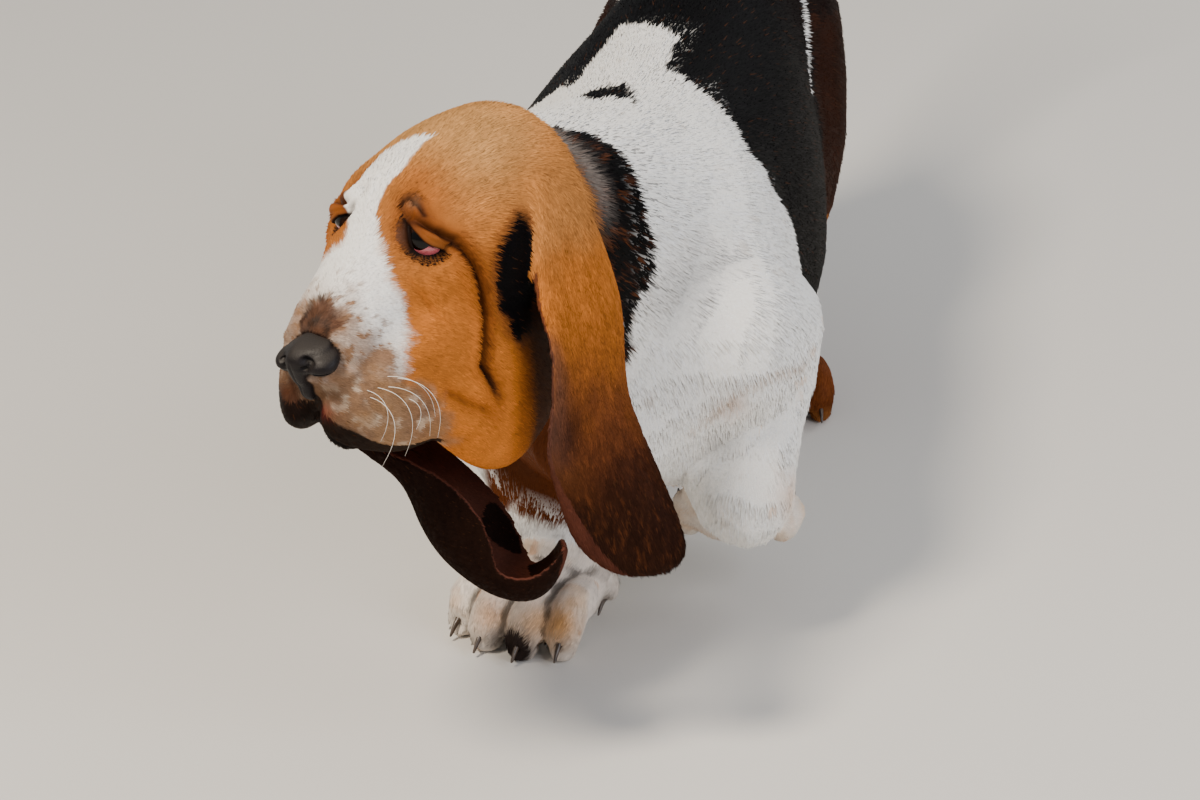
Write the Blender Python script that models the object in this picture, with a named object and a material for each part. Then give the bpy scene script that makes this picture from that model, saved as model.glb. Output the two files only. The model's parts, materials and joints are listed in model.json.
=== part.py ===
"""A basset hound walking with its near foreleg lifted and its head turned to its right, life size.

The hound faces -Y, +X is its left side, +Z is up, and it stands on z = 0. Lengths are in metres.
"""

import math

import bmesh
import bpy
import numpy as np
from mathutils import Matrix, Vector

# Driving dimensions
GAP = 0.0003
TALL = 0.368
BODY_LENGTH = 0.70
CHEST_WIDTH = 0.244
HEAD_LENGTH = 0.218
SKULL_WIDTH = 0.124
EAR_THICKNESS = 0.0062
PAW_WIDTH = 0.094
EYE_RADIUS = 0.0115
LID_THICKNESS = 0.0024

# The frame's origin is under the middle of the whole hound. The withers are this far from it.
WITHERS_X = 0.0105
WITHERS_Y = -0.1631

# The breastbone's tip, ahead of the withers
FRONT_Y = -0.135

# The head turns to the hound's right and dips its nose. Its own frame starts at the occiput.
OCCIPUT = (-0.049, -0.172, 0.431)
HEAD_YAW = -28.0
HEAD_PITCH = 16.0
HEAD_ROLL = 0.0

# Finest detail that a fused form keeps, and the triangles that it ends with
BODY_VOXEL, BODY_TRIANGLES = 0.0045, 2200
HEAD_VOXEL, HEAD_TRIANGLES = 0.0018, 2500
LEG_VOXEL, LEG_TRIANGLES = 0.0035, 380
PAW_VOXEL, PAW_TRIANGLES = 0.0019, 360
JAW_VOXEL, JAW_TRIANGLES = 0.0016, 420
NOSE_VOXEL, NOSE_TRIANGLES = 0.0009, 320

# Colours of the coat and of what isn't coat, as (red, green, blue), and the roughness
FINISHES = {
    "white_coat": ((0.86, 0.83, 0.78), 0.8),
    "black_coat": ((0.02, 0.018, 0.018), 0.6),
    "tan_coat": ((0.55, 0.25, 0.08), 0.75),
    "brown_coat": ((0.13, 0.06, 0.03), 0.7),
    "nose_leather": ((0.02, 0.02, 0.022), 0.4),
    "claw_horn": ((0.04, 0.035, 0.03), 0.35),
    "eye": ((0.05, 0.02, 0.01), 0.1),
}


def smooth_rows(rows, steps):
    """The rows joined by a Catmull-Rom curve, with this many points to a span."""
    rows = np.array(rows, float)
    padded = np.vstack([2 * rows[0] - rows[1], rows, 2 * rows[-1] - rows[-2]])
    points = []
    for a, b, c, d in zip(padded, padded[1:], padded[2:], padded[3:]):
        for t in np.linspace(0, 1, steps, endpoint=False):
            points.append(
                b
                + 0.5 * (c - a) * t
                + (a - 2.5 * b + 2 * c - 0.5 * d) * t**2
                + (1.5 * (b - c) + 0.5 * (d - a)) * t**3
            )
    return np.array(points + [rows[-1]])


def new_object(name, points, faces):
    mesh = bpy.data.meshes.new(name)
    mesh.from_pydata([tuple(p) for p in points], [], faces)
    mesh.update()
    obj = bpy.data.objects.new(name, mesh)
    bpy.context.scene.collection.objects.link(obj)
    return obj


def grid_faces(rings, around):
    """Quads between closed rings of points, and a fan's centre point at each end."""
    faces = []
    for r in range(rings - 1):
        for k in range(around):
            n = (k + 1) % around
            faces.append(
                (r * around + k, r * around + n, (r + 1) * around + n, (r + 1) * around + k)
            )
    first, last = rings * around, rings * around + 1
    for k in range(around):
        n = (k + 1) % around
        faces.append((first, n, k))
        faces.append((last, (rings - 1) * around + k, (rings - 1) * around + n))
    return faces


def loft(rows, across=(1, 0, 0), steps=4, around=20):
    """A closed tube through rows of (x, y, z, half width, half height above, half height below).

    It runs from head to tail or from top to bottom, so that above is the back or the rear side.
    """
    rows = smooth_rows(rows, steps)
    centres = rows[:, :3]
    along = np.gradient(centres, axis=0)
    along /= np.linalg.norm(along, axis=1)[:, None]
    side = np.array(across, float) - (along @ np.array(across, float))[:, None] * along
    side /= np.linalg.norm(side, axis=1)[:, None]
    lift = np.cross(side, along)
    turn = np.linspace(0, 2 * math.pi, around, endpoint=False)
    cos, sin = np.cos(turn)[None, :, None], np.sin(turn)[None, :, None]
    height = np.where(sin > 0, rows[:, None, None, 4], rows[:, None, None, 5])
    points = (
        centres[:, None]
        + side[:, None] * rows[:, None, None, 3] * cos
        + lift[:, None] * height * sin
    )
    points = np.vstack([points.reshape(-1, 3), centres[0], centres[-1]])
    return outwards(new_object("loft", points, grid_faces(len(rows), around)))


def outwards(obj):
    """Turns the faces of a closed mesh outwards."""
    form = bmesh.new()
    form.from_mesh(obj.data)
    bmesh.ops.recalc_face_normals(form, faces=form.faces)
    if form.calc_volume(signed=True) < 0:
        bmesh.ops.reverse_faces(form, faces=form.faces)
    form.to_mesh(obj.data)
    form.free()
    return obj


def ball(centre, radii, turn=(0, 0, 0), fineness=3):
    """An ellipsoid, turned by degrees about X, Y and Z."""
    form = bmesh.new()
    bmesh.ops.create_icosphere(form, subdivisions=fineness, radius=1)
    matrix = Matrix.Translation(centre)
    for axis, degrees in zip("ZYX", reversed(turn)):
        matrix = matrix @ Matrix.Rotation(math.radians(degrees), 4, axis)
    bmesh.ops.transform(form, matrix=matrix @ Matrix.Diagonal((*radii, 1)), verts=form.verts)
    mesh = bpy.data.meshes.new("ball")
    form.to_mesh(mesh)
    form.free()
    obj = bpy.data.objects.new("ball", mesh)
    bpy.context.scene.collection.objects.link(obj)
    return obj


def apply_modifier(obj, kind, **settings):
    """Adds a modifier to the object and keeps its result as the object's mesh."""
    modifier = obj.modifiers.new(kind.lower(), kind)
    for key, value in settings.items():
        setattr(modifier, key, value)
    bpy.context.view_layer.update()
    graph = bpy.context.evaluated_depsgraph_get()
    mesh = bpy.data.meshes.new_from_object(obj.evaluated_get(graph))
    obj.modifiers.clear()
    old, obj.data = obj.data, mesh
    bpy.data.meshes.remove(old)
    return obj


def triangle_count(obj):
    obj.data.calc_loop_triangles()
    return len(obj.data.loop_triangles)


def joined(name, pieces):
    """One mesh object of all the pieces, which may overlap."""
    form = bmesh.new()
    for piece in pieces:
        bpy.context.view_layer.update()
        piece.data.transform(piece.matrix_world)
        form.from_mesh(piece.data)
        bpy.data.objects.remove(piece)
    mesh = bpy.data.meshes.new(name)
    form.to_mesh(mesh)
    form.free()
    obj = bpy.data.objects.new(name, mesh)
    bpy.context.scene.collection.objects.link(obj)
    return obj


def fused(name, pieces, voxel, triangles, rounds=6):
    """The pieces run into one closed skin, smoothed, with about this many triangles."""
    obj = joined(name, pieces)
    apply_modifier(obj, "REMESH", mode="VOXEL", voxel_size=voxel, adaptivity=0)
    apply_modifier(obj, "SMOOTH", factor=0.5, iterations=rounds)
    largest_only(obj)
    share = min(1.0, triangles / triangle_count(obj))
    return apply_modifier(obj, "DECIMATE", ratio=share, use_collapse_triangulate=True)


def largest_only(obj):
    """Keeps the closed surface with the most volume and drops any scrap or sealed hollow."""
    form = bmesh.new()
    form.from_mesh(obj.data)
    left, shells = set(form.verts), []
    while left:
        front = [left.pop()]
        shell = set(front)
        while front:
            for edge in front.pop().link_edges:
                for vert in edge.verts:
                    if vert in left:
                        left.discard(vert)
                        shell.add(vert)
                        front.append(vert)
        shells.append(shell)
    biggest = max(shells, key=bulk)
    bmesh.ops.delete(form, geom=[v for s in shells if s is not biggest for v in s], context="VERTS")
    form.to_mesh(obj.data)
    form.free()
    return obj


def bulk(shell):
    """The size of the box round a set of vertices."""
    corners = np.array([v.co for v in shell])
    return float(np.prod(np.ptp(corners, axis=0)))


def trimmed(obj, point, normal, gap=GAP / 2):
    """Cuts off what lies past the plane and closes the cut with a flat face."""
    normal = Vector(normal).normalized()
    form = bmesh.new()
    form.from_mesh(obj.data)
    cut = bmesh.ops.bisect_plane(
        form,
        geom=form.verts[:] + form.edges[:] + form.faces[:],
        dist=1e-6,
        plane_co=Vector(point) - normal * gap,
        plane_no=normal,
        clear_outer=True,
    )
    rim = [e for e in cut["geom_cut"] if isinstance(e, bmesh.types.BMEdge)]
    bmesh.ops.triangle_fill(form, edges=rim, use_beauty=True, use_dissolve=False)
    bmesh.ops.recalc_face_normals(form, faces=form.faces)
    form.to_mesh(obj.data)
    form.free()
    return obj


def copy_of(obj, name="copy"):
    new = bpy.data.objects.new(name, obj.data.copy())
    bpy.context.scene.collection.objects.link(new)
    return new


def cut_by(obj, tools, margin=GAP, solver="EXACT"):
    """Cuts the tools out of the object, grown by the margin so that the faces keep clear."""
    for tool in tools:
        cutter = copy_of(tool, "cutter")
        if margin:
            apply_modifier(cutter, "DISPLACE", strength=margin, mid_level=0)
        apply_modifier(obj, "BOOLEAN", operation="DIFFERENCE", object=cutter, solver=solver)
        bpy.data.objects.remove(cutter)
        largest_only(obj)
    return obj


def remove(objects):
    for obj in objects:
        bpy.data.objects.remove(obj)


def placed(obj, matrix):
    obj.data.transform(matrix)
    obj.data.update()
    return obj


def mirrored(point, side):
    return (point[0] * side, *point[1:])


# Trunk and neck


def trunk_form():
    """The barrel from breastbone to buttocks, in shares of its length and width and of its height."""
    half = CHEST_WIDTH / 2
    shares = (
        (0.000, 0.560, 0.20, 0.080, 0.080, 0.00),
        (0.028, 0.565, 0.48, 0.190, 0.175, 0.00),
        (0.080, 0.565, 0.70, 0.300, 0.262, 0.00),
        (0.140, 0.560, 0.82, 0.375, 0.312, 0.00),
        (0.195, 0.550, 0.88, 0.430, 0.310, 0.00),
        (0.280, 0.535, 0.96, 0.440, 0.300, 0.01),
        (0.380, 0.525, 1.00, 0.430, 0.285, 0.03),
        (0.480, 0.530, 0.95, 0.420, 0.275, 0.05),
        (0.580, 0.560, 0.83, 0.400, 0.262, 0.07),
        (0.665, 0.600, 0.70, 0.372, 0.250, 0.09),
        (0.750, 0.650, 0.64, 0.325, 0.250, 0.10),
        (0.835, 0.690, 0.62, 0.270, 0.250, 0.10),
        (0.905, 0.700, 0.56, 0.222, 0.235, 0.10),
        (0.965, 0.690, 0.40, 0.160, 0.185, 0.10),
        (0.995, 0.680, 0.15, 0.070, 0.080, 0.10),
    )
    rows = [
        (half * x, FRONT_Y + BODY_LENGTH * y, TALL * z, half * w, TALL * up, TALL * down)
        for y, z, w, up, down, x in shares
    ]
    return loft(rows, around=28)


def shoulder_forms():
    """The shoulder blades and the loose skin over them."""
    forms = []
    for side in (1, -1):
        forms.append(ball((0.062 * side, 0.010, 0.262), (0.050, 0.078, 0.088), (-18, -14 * side, 0)))
        forms.append(ball((0.082 * side, -0.045, 0.215), (0.050, 0.062, 0.060), (20, 0, 0)))
    forms.append(ball((0, -0.105, 0.185), (0.052, 0.040, 0.060), (-15, 0, 0)))
    return forms


def pelvis_forms():
    """The croup and the muscles over the hips."""
    forms = [ball((0.013, 0.445, 0.300), (0.070, 0.085, 0.052), (8, 0, 0))]
    for side in (1, -1):
        forms.append(ball((0.013 + 0.046 * side, 0.432, 0.252), (0.040, 0.080, 0.082), (0, 0, 0)))
    return forms


def neck_form():
    """The neck and its hanging throat skin, from the back of the head into the chest."""
    rows = (
        (-0.060, -0.200, 0.345, 0.056, 0.050, 0.080),
        (-0.046, -0.165, 0.340, 0.062, 0.062, 0.100),
        (-0.032, -0.125, 0.326, 0.068, 0.070, 0.114),
        (-0.018, -0.080, 0.305, 0.076, 0.080, 0.118),
        (-0.007, -0.035, 0.286, 0.084, 0.086, 0.118),
        (0.000, 0.015, 0.268, 0.088, 0.090, 0.110),
    )
    return loft(rows, around=24)


def dewlap_forms():
    """Two folds of loose skin that hang under the throat."""
    return [
        loft(
            (
                (-0.062, -0.212, 0.270, 0.014, 0.050, 0.014),
                (-0.050, -0.180, 0.244, 0.018, 0.056, 0.018),
                (-0.034, -0.145, 0.222, 0.020, 0.060, 0.020),
                (-0.016, -0.112, 0.198, 0.020, 0.060, 0.018),
            ),
            around=12,
        )
    ]


# Legs. The right foreleg and both hind legs stand, and the left foreleg is lifted with its wrist bent.
# Each has its shoulder, elbow, the middle of its forearm and its wrist.

FORELEG_RIGHT = (
    (-0.080, -0.070, 0.205),
    (-0.104, 0.030, 0.172),
    (-0.080, 0.010, 0.115),
    (-0.034, -0.022, 0.062),
)
FORELEG_LEFT = (
    (0.080, -0.070, 0.212),
    (0.107, 0.006, 0.203),
    (0.098, -0.028, 0.160),
    (0.094, -0.066, 0.112),
)
BENT_WRIST = ((0.094, -0.064, 0.108), (0.040, 0.036, 0.036))

# The standing paw's place and turn to the right, and the lifted paw's place and its turn back and down
FOREPAW_RIGHT = ((-0.044, -0.052, 0.0), -19)
FOREPAW_LEFT = ((0.080, 0.007, 0.092), 148)

# Where the paws are parted from the legs: a point and the way onward
WRIST_RIGHT = ((-0.034, -0.026, 0.060), (0.15, -0.10, -1))
WRIST_LEFT = ((0.088, -0.040, 0.093), (0, 0.848, -0.530))

# Each hind leg has its hip, stifle, hock and the top of its paw, and the paw's turn
HINDLEG_LEFT = (
    (0.062, 0.430, 0.256),
    (0.080, 0.304, 0.172),
    (0.074, 0.394, 0.106),
    (0.070, 0.360, 0.046),
    6,
)
HINDLEG_RIGHT = (
    (-0.036, 0.430, 0.256),
    (-0.060, 0.350, 0.178),
    (-0.062, 0.478, 0.112),
    (-0.064, 0.466, 0.046),
    -6,
)
HINDPAW_SCALE = 0.86
HINDPAW_HEIGHT = 0.050
KNEE_LEVEL = 0.148


def foreleg_form(side, shoulder, elbow, middle, wrist):
    """Upper arm, elbow and forearm, with the wrinkled skin that gathers above the wrist."""
    upper = loft(
        (
            (*shoulder, 0.040, 0.050, 0.042),
            (*((np.array(shoulder) + elbow) / 2), 0.042, 0.050, 0.044),
            (*elbow, 0.036, 0.036, 0.034),
        ),
        around=18,
    )
    point = ball(
        (elbow[0] + 0.004 * side, elbow[1] + 0.012, elbow[2] + 0.004), (0.029, 0.030, 0.030)
    )
    down = np.array(wrist) - np.array(middle)
    beyond = np.array(wrist) + 0.25 * down
    forearm = loft(
        (
            (*elbow, 0.035, 0.036, 0.036),
            (*((np.array(elbow) + middle) / 2), 0.037, 0.038, 0.038),
            (*middle, 0.034, 0.035, 0.034),
            (*(np.array(middle) + 0.35 * down), 0.033, 0.033, 0.032),
            (*(np.array(middle) + 0.70 * down), 0.033, 0.033, 0.031),
            (*wrist, 0.034, 0.034, 0.031),
            (*beyond, 0.034, 0.033, 0.030),
        ),
        around=18,
    )
    return [upper, point, forearm]


def hindleg_form(side, hip, stifle, hock, heel_of_paw):
    """Thigh, knee, lower leg, hock and the upright rear pastern."""
    hip, stifle, hock, foot = (np.array(p, float) for p in (hip, stifle, hock, heel_of_paw))
    thigh = loft(
        (
            (*(hip + (0, 0.010, 0.030)), 0.036, 0.066, 0.056),
            (*hip, 0.044, 0.082, 0.066),
            (*(hip * 0.55 + stifle * 0.45), 0.046, 0.078, 0.058),
            (*(hip * 0.15 + stifle * 0.85), 0.040, 0.058, 0.042),
            (*(stifle + (0, 0.018, -0.020)), 0.033, 0.040, 0.032),
        ),
        around=20,
    )
    hamstring = ball((hip[0] * 0.95, hip[1] + 0.062, hip[2] - 0.060), (0.036, 0.042, 0.062), (-24, 0, 0))
    knee = ball(stifle + (0.002 * side, -0.004, 0.004), (0.031, 0.033, 0.034))
    shank = loft(
        (
            (*(stifle + (0, 0.012, 0)), 0.031, 0.044, 0.034),
            (*(stifle * 0.55 + hock * 0.45), 0.030, 0.036, 0.030),
            (*(stifle * 0.2 + hock * 0.8), 0.022, 0.024, 0.024),
            (*hock, 0.021, 0.022, 0.022),
        ),
        around=18,
    )
    heel = ball(hock + (0, 0.008, 0.004), (0.019, 0.021, 0.022))
    down = foot - hock
    pastern = loft(
        (
            (*(hock - 0.12 * down), 0.020, 0.024, 0.021),
            (*(hock + 0.35 * down), 0.022, 0.021, 0.022),
            (*(hock + 0.75 * down), 0.025, 0.022, 0.024),
            (*foot, 0.028, 0.024, 0.027),
            (*(foot + 0.15 * down), 0.028, 0.024, 0.027),
        ),
        around=18,
    )
    return [thigh, hamstring, knee, shank, heel, pastern]


# Paws. A paw's own frame has its toes towards -Y, its inner edge known by the side, and its pads on z = 0.

TOE_SPREAD = (-0.350, -0.128, 0.128, 0.350)
TOE_REACH = (0.038, 0.050, 0.050, 0.038)
TOE_FAN = (-7, -2, 2, 7)


def toe_frames(scale):
    """The matrix of each toe, from its root in the paw, with -Y along the toe."""
    for spread, reach, fan in zip(TOE_SPREAD, TOE_REACH, TOE_FAN):
        turn = Matrix.Rotation(math.radians(fan), 4, "Z")
        yield Matrix.Translation((spread * PAW_WIDTH * scale, 0, 0)) @ turn, reach * scale


def stump_rows(scale, height, planted):
    """The pastern, upright over a planted paw and in line behind a lifted one."""
    s = scale
    if planted:
        return (
            (0, 0.030 * s, height + 0.020, 0.032 * s, 0.032 * s, 0.029 * s),
            (0, 0.028 * s, height, 0.033 * s, 0.032 * s, 0.030 * s),
            (0, 0.022 * s, height * 0.62, 0.036 * s, 0.032 * s, 0.032 * s),
            (0, 0.012 * s, height * 0.35, 0.038 * s, 0.034 * s, 0.034 * s),
        )
    return (
        (0, 0.085 * s, 0.022 * s, 0.031 * s, 0.025 * s, 0.025 * s),
        (0, 0.060 * s, 0.023 * s, 0.032 * s, 0.025 * s, 0.024 * s),
        (0, 0.035 * s, 0.025 * s, 0.035 * s, 0.026 * s, 0.022 * s),
        (0, 0.010 * s, 0.026 * s, 0.037 * s, 0.026 * s, 0.020 * s),
    )


def paw_forms(side, scale, height, dewclaw, planted):
    """Palm, four arched toes, their pads, the pastern's stump and, on a forepaw, the dewclaw's toe."""
    s = scale
    forms = [
        ball((0, 0.004 * s, 0.026 * s), (0.037 * s, 0.044 * s, 0.027 * s)),
        ball((0, 0.012 * s, 0.008 * s), (0.026 * s, 0.022 * s, 0.012 * s)),
        loft(stump_rows(s, height, planted), around=20),
    ]
    for frame, reach in toe_frames(s):
        toe = loft(
            (
                (0, 0.010 * s, 0.026 * s, 0.0120 * s, 0.0130 * s, 0.0160 * s),
                (0, -0.50 * reach, 0.030 * s, 0.0130 * s, 0.0135 * s, 0.0180 * s),
                (0, -0.86 * reach, 0.024 * s, 0.0138 * s, 0.0140 * s, 0.0170 * s),
                (0, -1.12 * reach, 0.014 * s, 0.0118 * s, 0.0110 * s, 0.0110 * s),
                (0, -1.22 * reach, 0.011 * s, 0.0060 * s, 0.0055 * s, 0.0055 * s),
            ),
            around=16,
        )
        pad = ball((0, -0.98 * reach, 0.006 * s), (0.0105 * s, 0.0130 * s, 0.0080 * s))
        forms += [placed(toe, frame), placed(pad, frame)]
    if dewclaw:
        forms.append(ball((-side * 0.040 * s, 0.020 * s, 0.030 * s), (0.0085, 0.0110, 0.0150), (25, 0, 0)))
    return forms


def claw(frame, reach, scale, length=0.015):
    """A blunt curved claw that leaves the toe's tip forwards and down."""
    s = scale
    rows = [
        (
            0,
            -1.06 * reach - length * t * s,
            (0.0165 - 0.0125 * max(t, 0) ** 1.6) * s,
            0.0030 * (1 - 0.72 * t) * s,
            0.0036 * (1 - 0.72 * t) * s,
            0.0036 * (1 - 0.72 * t) * s,
        )
        for t in (-0.25, 0.3, 0.7, 1.0)
    ]
    return placed(loft(rows[::-1], steps=1, around=7), frame)


def dewclaw_claw(side, scale):
    """The small claw of the thumb, on the paw's inner side."""
    s = scale
    rows = [
        (
            -side * (0.0405 + 0.002 * t) * s,
            (0.014 - 0.012 * t) * s,
            (0.022 - 0.008 * max(t, 0) ** 1.5) * s,
            0.0024 * (1 - 0.7 * t),
            0.0028 * (1 - 0.7 * t),
            0.0028 * (1 - 0.7 * t),
        )
        for t in (-0.4, 0.2, 0.6, 1.0)
    ]
    return loft(rows[::-1], steps=1, around=8)


def build_paw(name, side, matrix, scale=1.0, height=0.062, dewclaw=False, planted=True):
    """A paw and its claws in place. A planted one has flat pads on the floor."""
    forms = paw_forms(side, scale, height, dewclaw, planted)
    paw = fused(name, forms, PAW_VOXEL, PAW_TRIANGLES, rounds=3)
    if planted:
        trimmed(paw, (0, 0, 0.0012), (0, 0, -1), gap=0)
        placed(paw, Matrix.Translation((0, 0, -0.0012)))
    claws = [claw(frame, reach, scale) for frame, reach in toe_frames(scale)]
    if dewclaw:
        claws.append(dewclaw_claw(side, scale))
    for number, horn in enumerate(claws, 1):
        horn.name = name.replace("paw", "claw") + f"_{number}"
    cut_by(paw, claws)
    placed(paw, matrix)
    for horn in claws:
        placed(horn, matrix)
    return paw, claws


# Head. Its own frame has the occiput's crest at the origin and the nose towards -Y.


def head_matrix():
    turn = (
        Matrix.Rotation(math.radians(HEAD_YAW), 4, "Z")
        @ Matrix.Rotation(math.radians(HEAD_PITCH), 4, "X")
        @ Matrix.Rotation(math.radians(HEAD_ROLL), 4, "Y")
    )
    return Matrix.Translation(OCCIPUT) @ turn


def skull_form():
    """Domed skull, stop and square muzzle, in shares of the head's length and the skull's width."""
    half = SKULL_WIDTH / 2
    rows = [
        (0, -HEAD_LENGTH * s, z, half * w, up, down)
        for s, z, w, up, down in (
            (-0.22, -0.114, 0.90, 0.050, 0.070),
            (-0.10, -0.100, 0.94, 0.056, 0.074),
            (0.00, -0.084, 0.96, 0.061, 0.074),
            (0.10, -0.070, 0.98, 0.062, 0.078),
            (0.22, -0.060, 1.00, 0.061, 0.080),
            (0.34, -0.056, 0.98, 0.060, 0.078),
            (0.45, -0.055, 0.90, 0.057, 0.074),
            (0.54, -0.056, 0.78, 0.051, 0.070),
            (0.60, -0.058, 0.68, 0.045, 0.067),
            (0.67, -0.061, 0.59, 0.040, 0.062),
            (0.77, -0.065, 0.54, 0.037, 0.055),
            (0.88, -0.067, 0.50, 0.032, 0.047),
            (0.95, -0.067, 0.40, 0.025, 0.032),
            (0.985, -0.067, 0.20, 0.012, 0.014),
        )
    ]
    return loft(rows[::-1], steps=4, around=28)


def lip_form(side):
    """The hanging upper lip from beside the nose back to the cheek."""
    rows = (
        (0.008 * side, -0.211, -0.088, 0.0100, 0.022, 0.014),
        (0.019 * side, -0.202, -0.095, 0.0140, 0.030, 0.026),
        (0.031 * side, -0.184, -0.100, 0.0150, 0.038, 0.036),
        (0.037 * side, -0.162, -0.104, 0.0160, 0.042, 0.040),
        (0.042 * side, -0.135, -0.106, 0.0175, 0.046, 0.042),
        (0.045 * side, -0.102, -0.104, 0.0190, 0.048, 0.044),
        (0.045 * side, -0.068, -0.102, 0.0190, 0.048, 0.048),
        (0.042 * side, -0.035, -0.100, 0.0180, 0.046, 0.046),
    )
    return loft(rows, around=18)


def jowl_form(side, drop):
    """The loose skin that hangs below the cheek, this much lower than the lip."""
    rows = (
        (0.040 * side, -0.158, -0.118, 0.0130, 0.036, 0.022 + 0.10 * drop),
        (0.045 * side, -0.132, -0.122, 0.0160, 0.044, 0.030 + 0.70 * drop),
        (0.047 * side, -0.104, -0.126, 0.0170, 0.050, 0.034 + 1.00 * drop),
        (0.045 * side, -0.074, -0.128, 0.0170, 0.050, 0.036 + 0.85 * drop),
        (0.041 * side, -0.042, -0.128, 0.0160, 0.048, 0.036 + 0.50 * drop),
        (0.036 * side, -0.014, -0.126, 0.0150, 0.044, 0.034 + 0.20 * drop),
    )
    return loft(rows, around=18)


def cheek_forms(side):
    """Cheek, brow ridge, the sagging skin under the eye and the flat side of the muzzle."""
    return [
        ball((0.043 * side, -0.078, -0.066), (0.022, 0.050, 0.050)),
        ball((0.0205 * side, -0.112, -0.0130), (0.0140, 0.0140, 0.0088), (0, 24 * side, 0)),
        ball((0.037 * side, -0.118, -0.058), (0.013, 0.024, 0.024)),
        loft(
            (
                (0.010 * side, -0.204, -0.074, 0.011, 0.016, 0.020),
                (0.019 * side, -0.188, -0.078, 0.014, 0.026, 0.026),
                (0.025 * side, -0.165, -0.082, 0.015, 0.032, 0.028),
                (0.031 * side, -0.135, -0.084, 0.016, 0.034, 0.028),
                (0.036 * side, -0.105, -0.086, 0.017, 0.032, 0.028),
            ),
            around=16,
        ),
    ]


EYE_CENTRE = (0.0275, -0.1160, -0.0245)
EYE_FRONT = (0.58, -0.80, 0.12)

# The way from the inner corner of the lids to the outer one, which droops
LID_SLANT = (0.65, 0.36, -0.66)
UPPER_LID, LOWER_LID, LID_LENGTH = 0.40, 0.56, 0.86


def eye_frame(side):
    """The matrix of an eye: X along its lids, Y up between them and Z the way it looks."""
    front = Vector(mirrored(EYE_FRONT, side)).normalized()
    across = Vector(mirrored(LID_SLANT, side))
    across = (across - front * across.dot(front)).normalized()
    up = front.cross(across) * side
    turn = Matrix((across, up, front)).transposed().to_4x4()
    return Matrix.Translation(mirrored(EYE_CENTRE, side)) @ turn


def lid_form(side):
    """The rims of both lids as one loop round the eye, the lower one hanging."""
    points, radius = [], EYE_RADIUS + LID_THICKNESS
    for turn in np.linspace(0, 2 * math.pi, 18, endpoint=False):
        wide = LID_LENGTH * math.cos(turn)
        high = (UPPER_LID if math.sin(turn) > 0 else LOWER_LID) * math.sin(turn)
        deep = math.sqrt(max(0.0, 1 - wide * wide - high * high))
        points.append(eye_frame(side) @ Vector((radius * wide, radius * high, radius * deep)))
    return ring_tube(points, 0.0022)


def socket_form(side):
    """The opening between the lids, as a cutter in front of the eyeball."""
    opening = ball((0, -0.0010, 0.0120), (0.0098, 0.0050, 0.0130), fineness=2)
    return outwards(placed(opening, eye_frame(side)))


def ring_tube(points, radius, around=8):
    """A tube of one radius round a closed loop of points."""
    centres = np.array(points)
    middle = centres.mean(axis=0)
    along = np.roll(centres, -1, axis=0) - np.roll(centres, 1, axis=0)
    along /= np.linalg.norm(along, axis=1)[:, None]
    outward = centres - middle
    outward -= (outward * along).sum(axis=1)[:, None] * along
    outward /= np.linalg.norm(outward, axis=1)[:, None]
    normal = np.cross(along, outward)
    turn = np.linspace(0, 2 * math.pi, around, endpoint=False)
    rings = (
        centres[:, None]
        + radius * np.cos(turn)[None, :, None] * outward[:, None]
        + radius * np.sin(turn)[None, :, None] * normal[:, None]
    )
    count = len(centres)
    faces = [
        (
            r * around + k,
            r * around + (k + 1) % around,
            (r + 1) % count * around + (k + 1) % around,
            (r + 1) % count * around + k,
        )
        for r in range(count)
        for k in range(around)
    ]
    return outwards(new_object("ring", rings.reshape(-1, 3), faces))


def jaw_forms():
    """The lower jaw with its lip, under the upper lips."""
    return [
        loft(
            (
                (0, -0.201, -0.124, 0.011, 0.010, 0.011),
                (0, -0.190, -0.124, 0.020, 0.015, 0.017),
                (0, -0.172, -0.123, 0.025, 0.016, 0.019),
                (0, -0.145, -0.122, 0.029, 0.017, 0.021),
                (0, -0.110, -0.120, 0.033, 0.018, 0.024),
                (0, -0.075, -0.116, 0.037, 0.020, 0.028),
                (0, -0.040, -0.112, 0.039, 0.020, 0.030),
            ),
            around=20,
        )
    ]


def nose_forms():
    """The nose leather: its bridge, both wings and the strip that runs down to the lip."""
    forms = [
        ball((0, -0.2120, -0.0590), (0.0130, 0.0120, 0.0180)),
        ball((0, -0.2070, -0.0490), (0.0175, 0.0125, 0.0095)),
        ball((0, -0.2120, -0.0760), (0.0055, 0.0080, 0.0130)),
    ]
    for side in (1, -1):
        forms.append(ball((0.0132 * side, -0.2100, -0.0600), (0.0108, 0.0118, 0.0130), (0, 0, 20 * side)))
    return forms


def nostril_forms(side):
    """A nostril's round mouth and the slit that trails from it round the wing."""
    return [
        ball((0.0085 * side, -0.2235, -0.0595), (0.0038, 0.0070, 0.0044), fineness=2),
        ball((0.0185 * side, -0.2180, -0.0650), (0.0068, 0.0065, 0.0014), (0, 12 * side, 0), fineness=2),
    ]


# Ears


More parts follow.
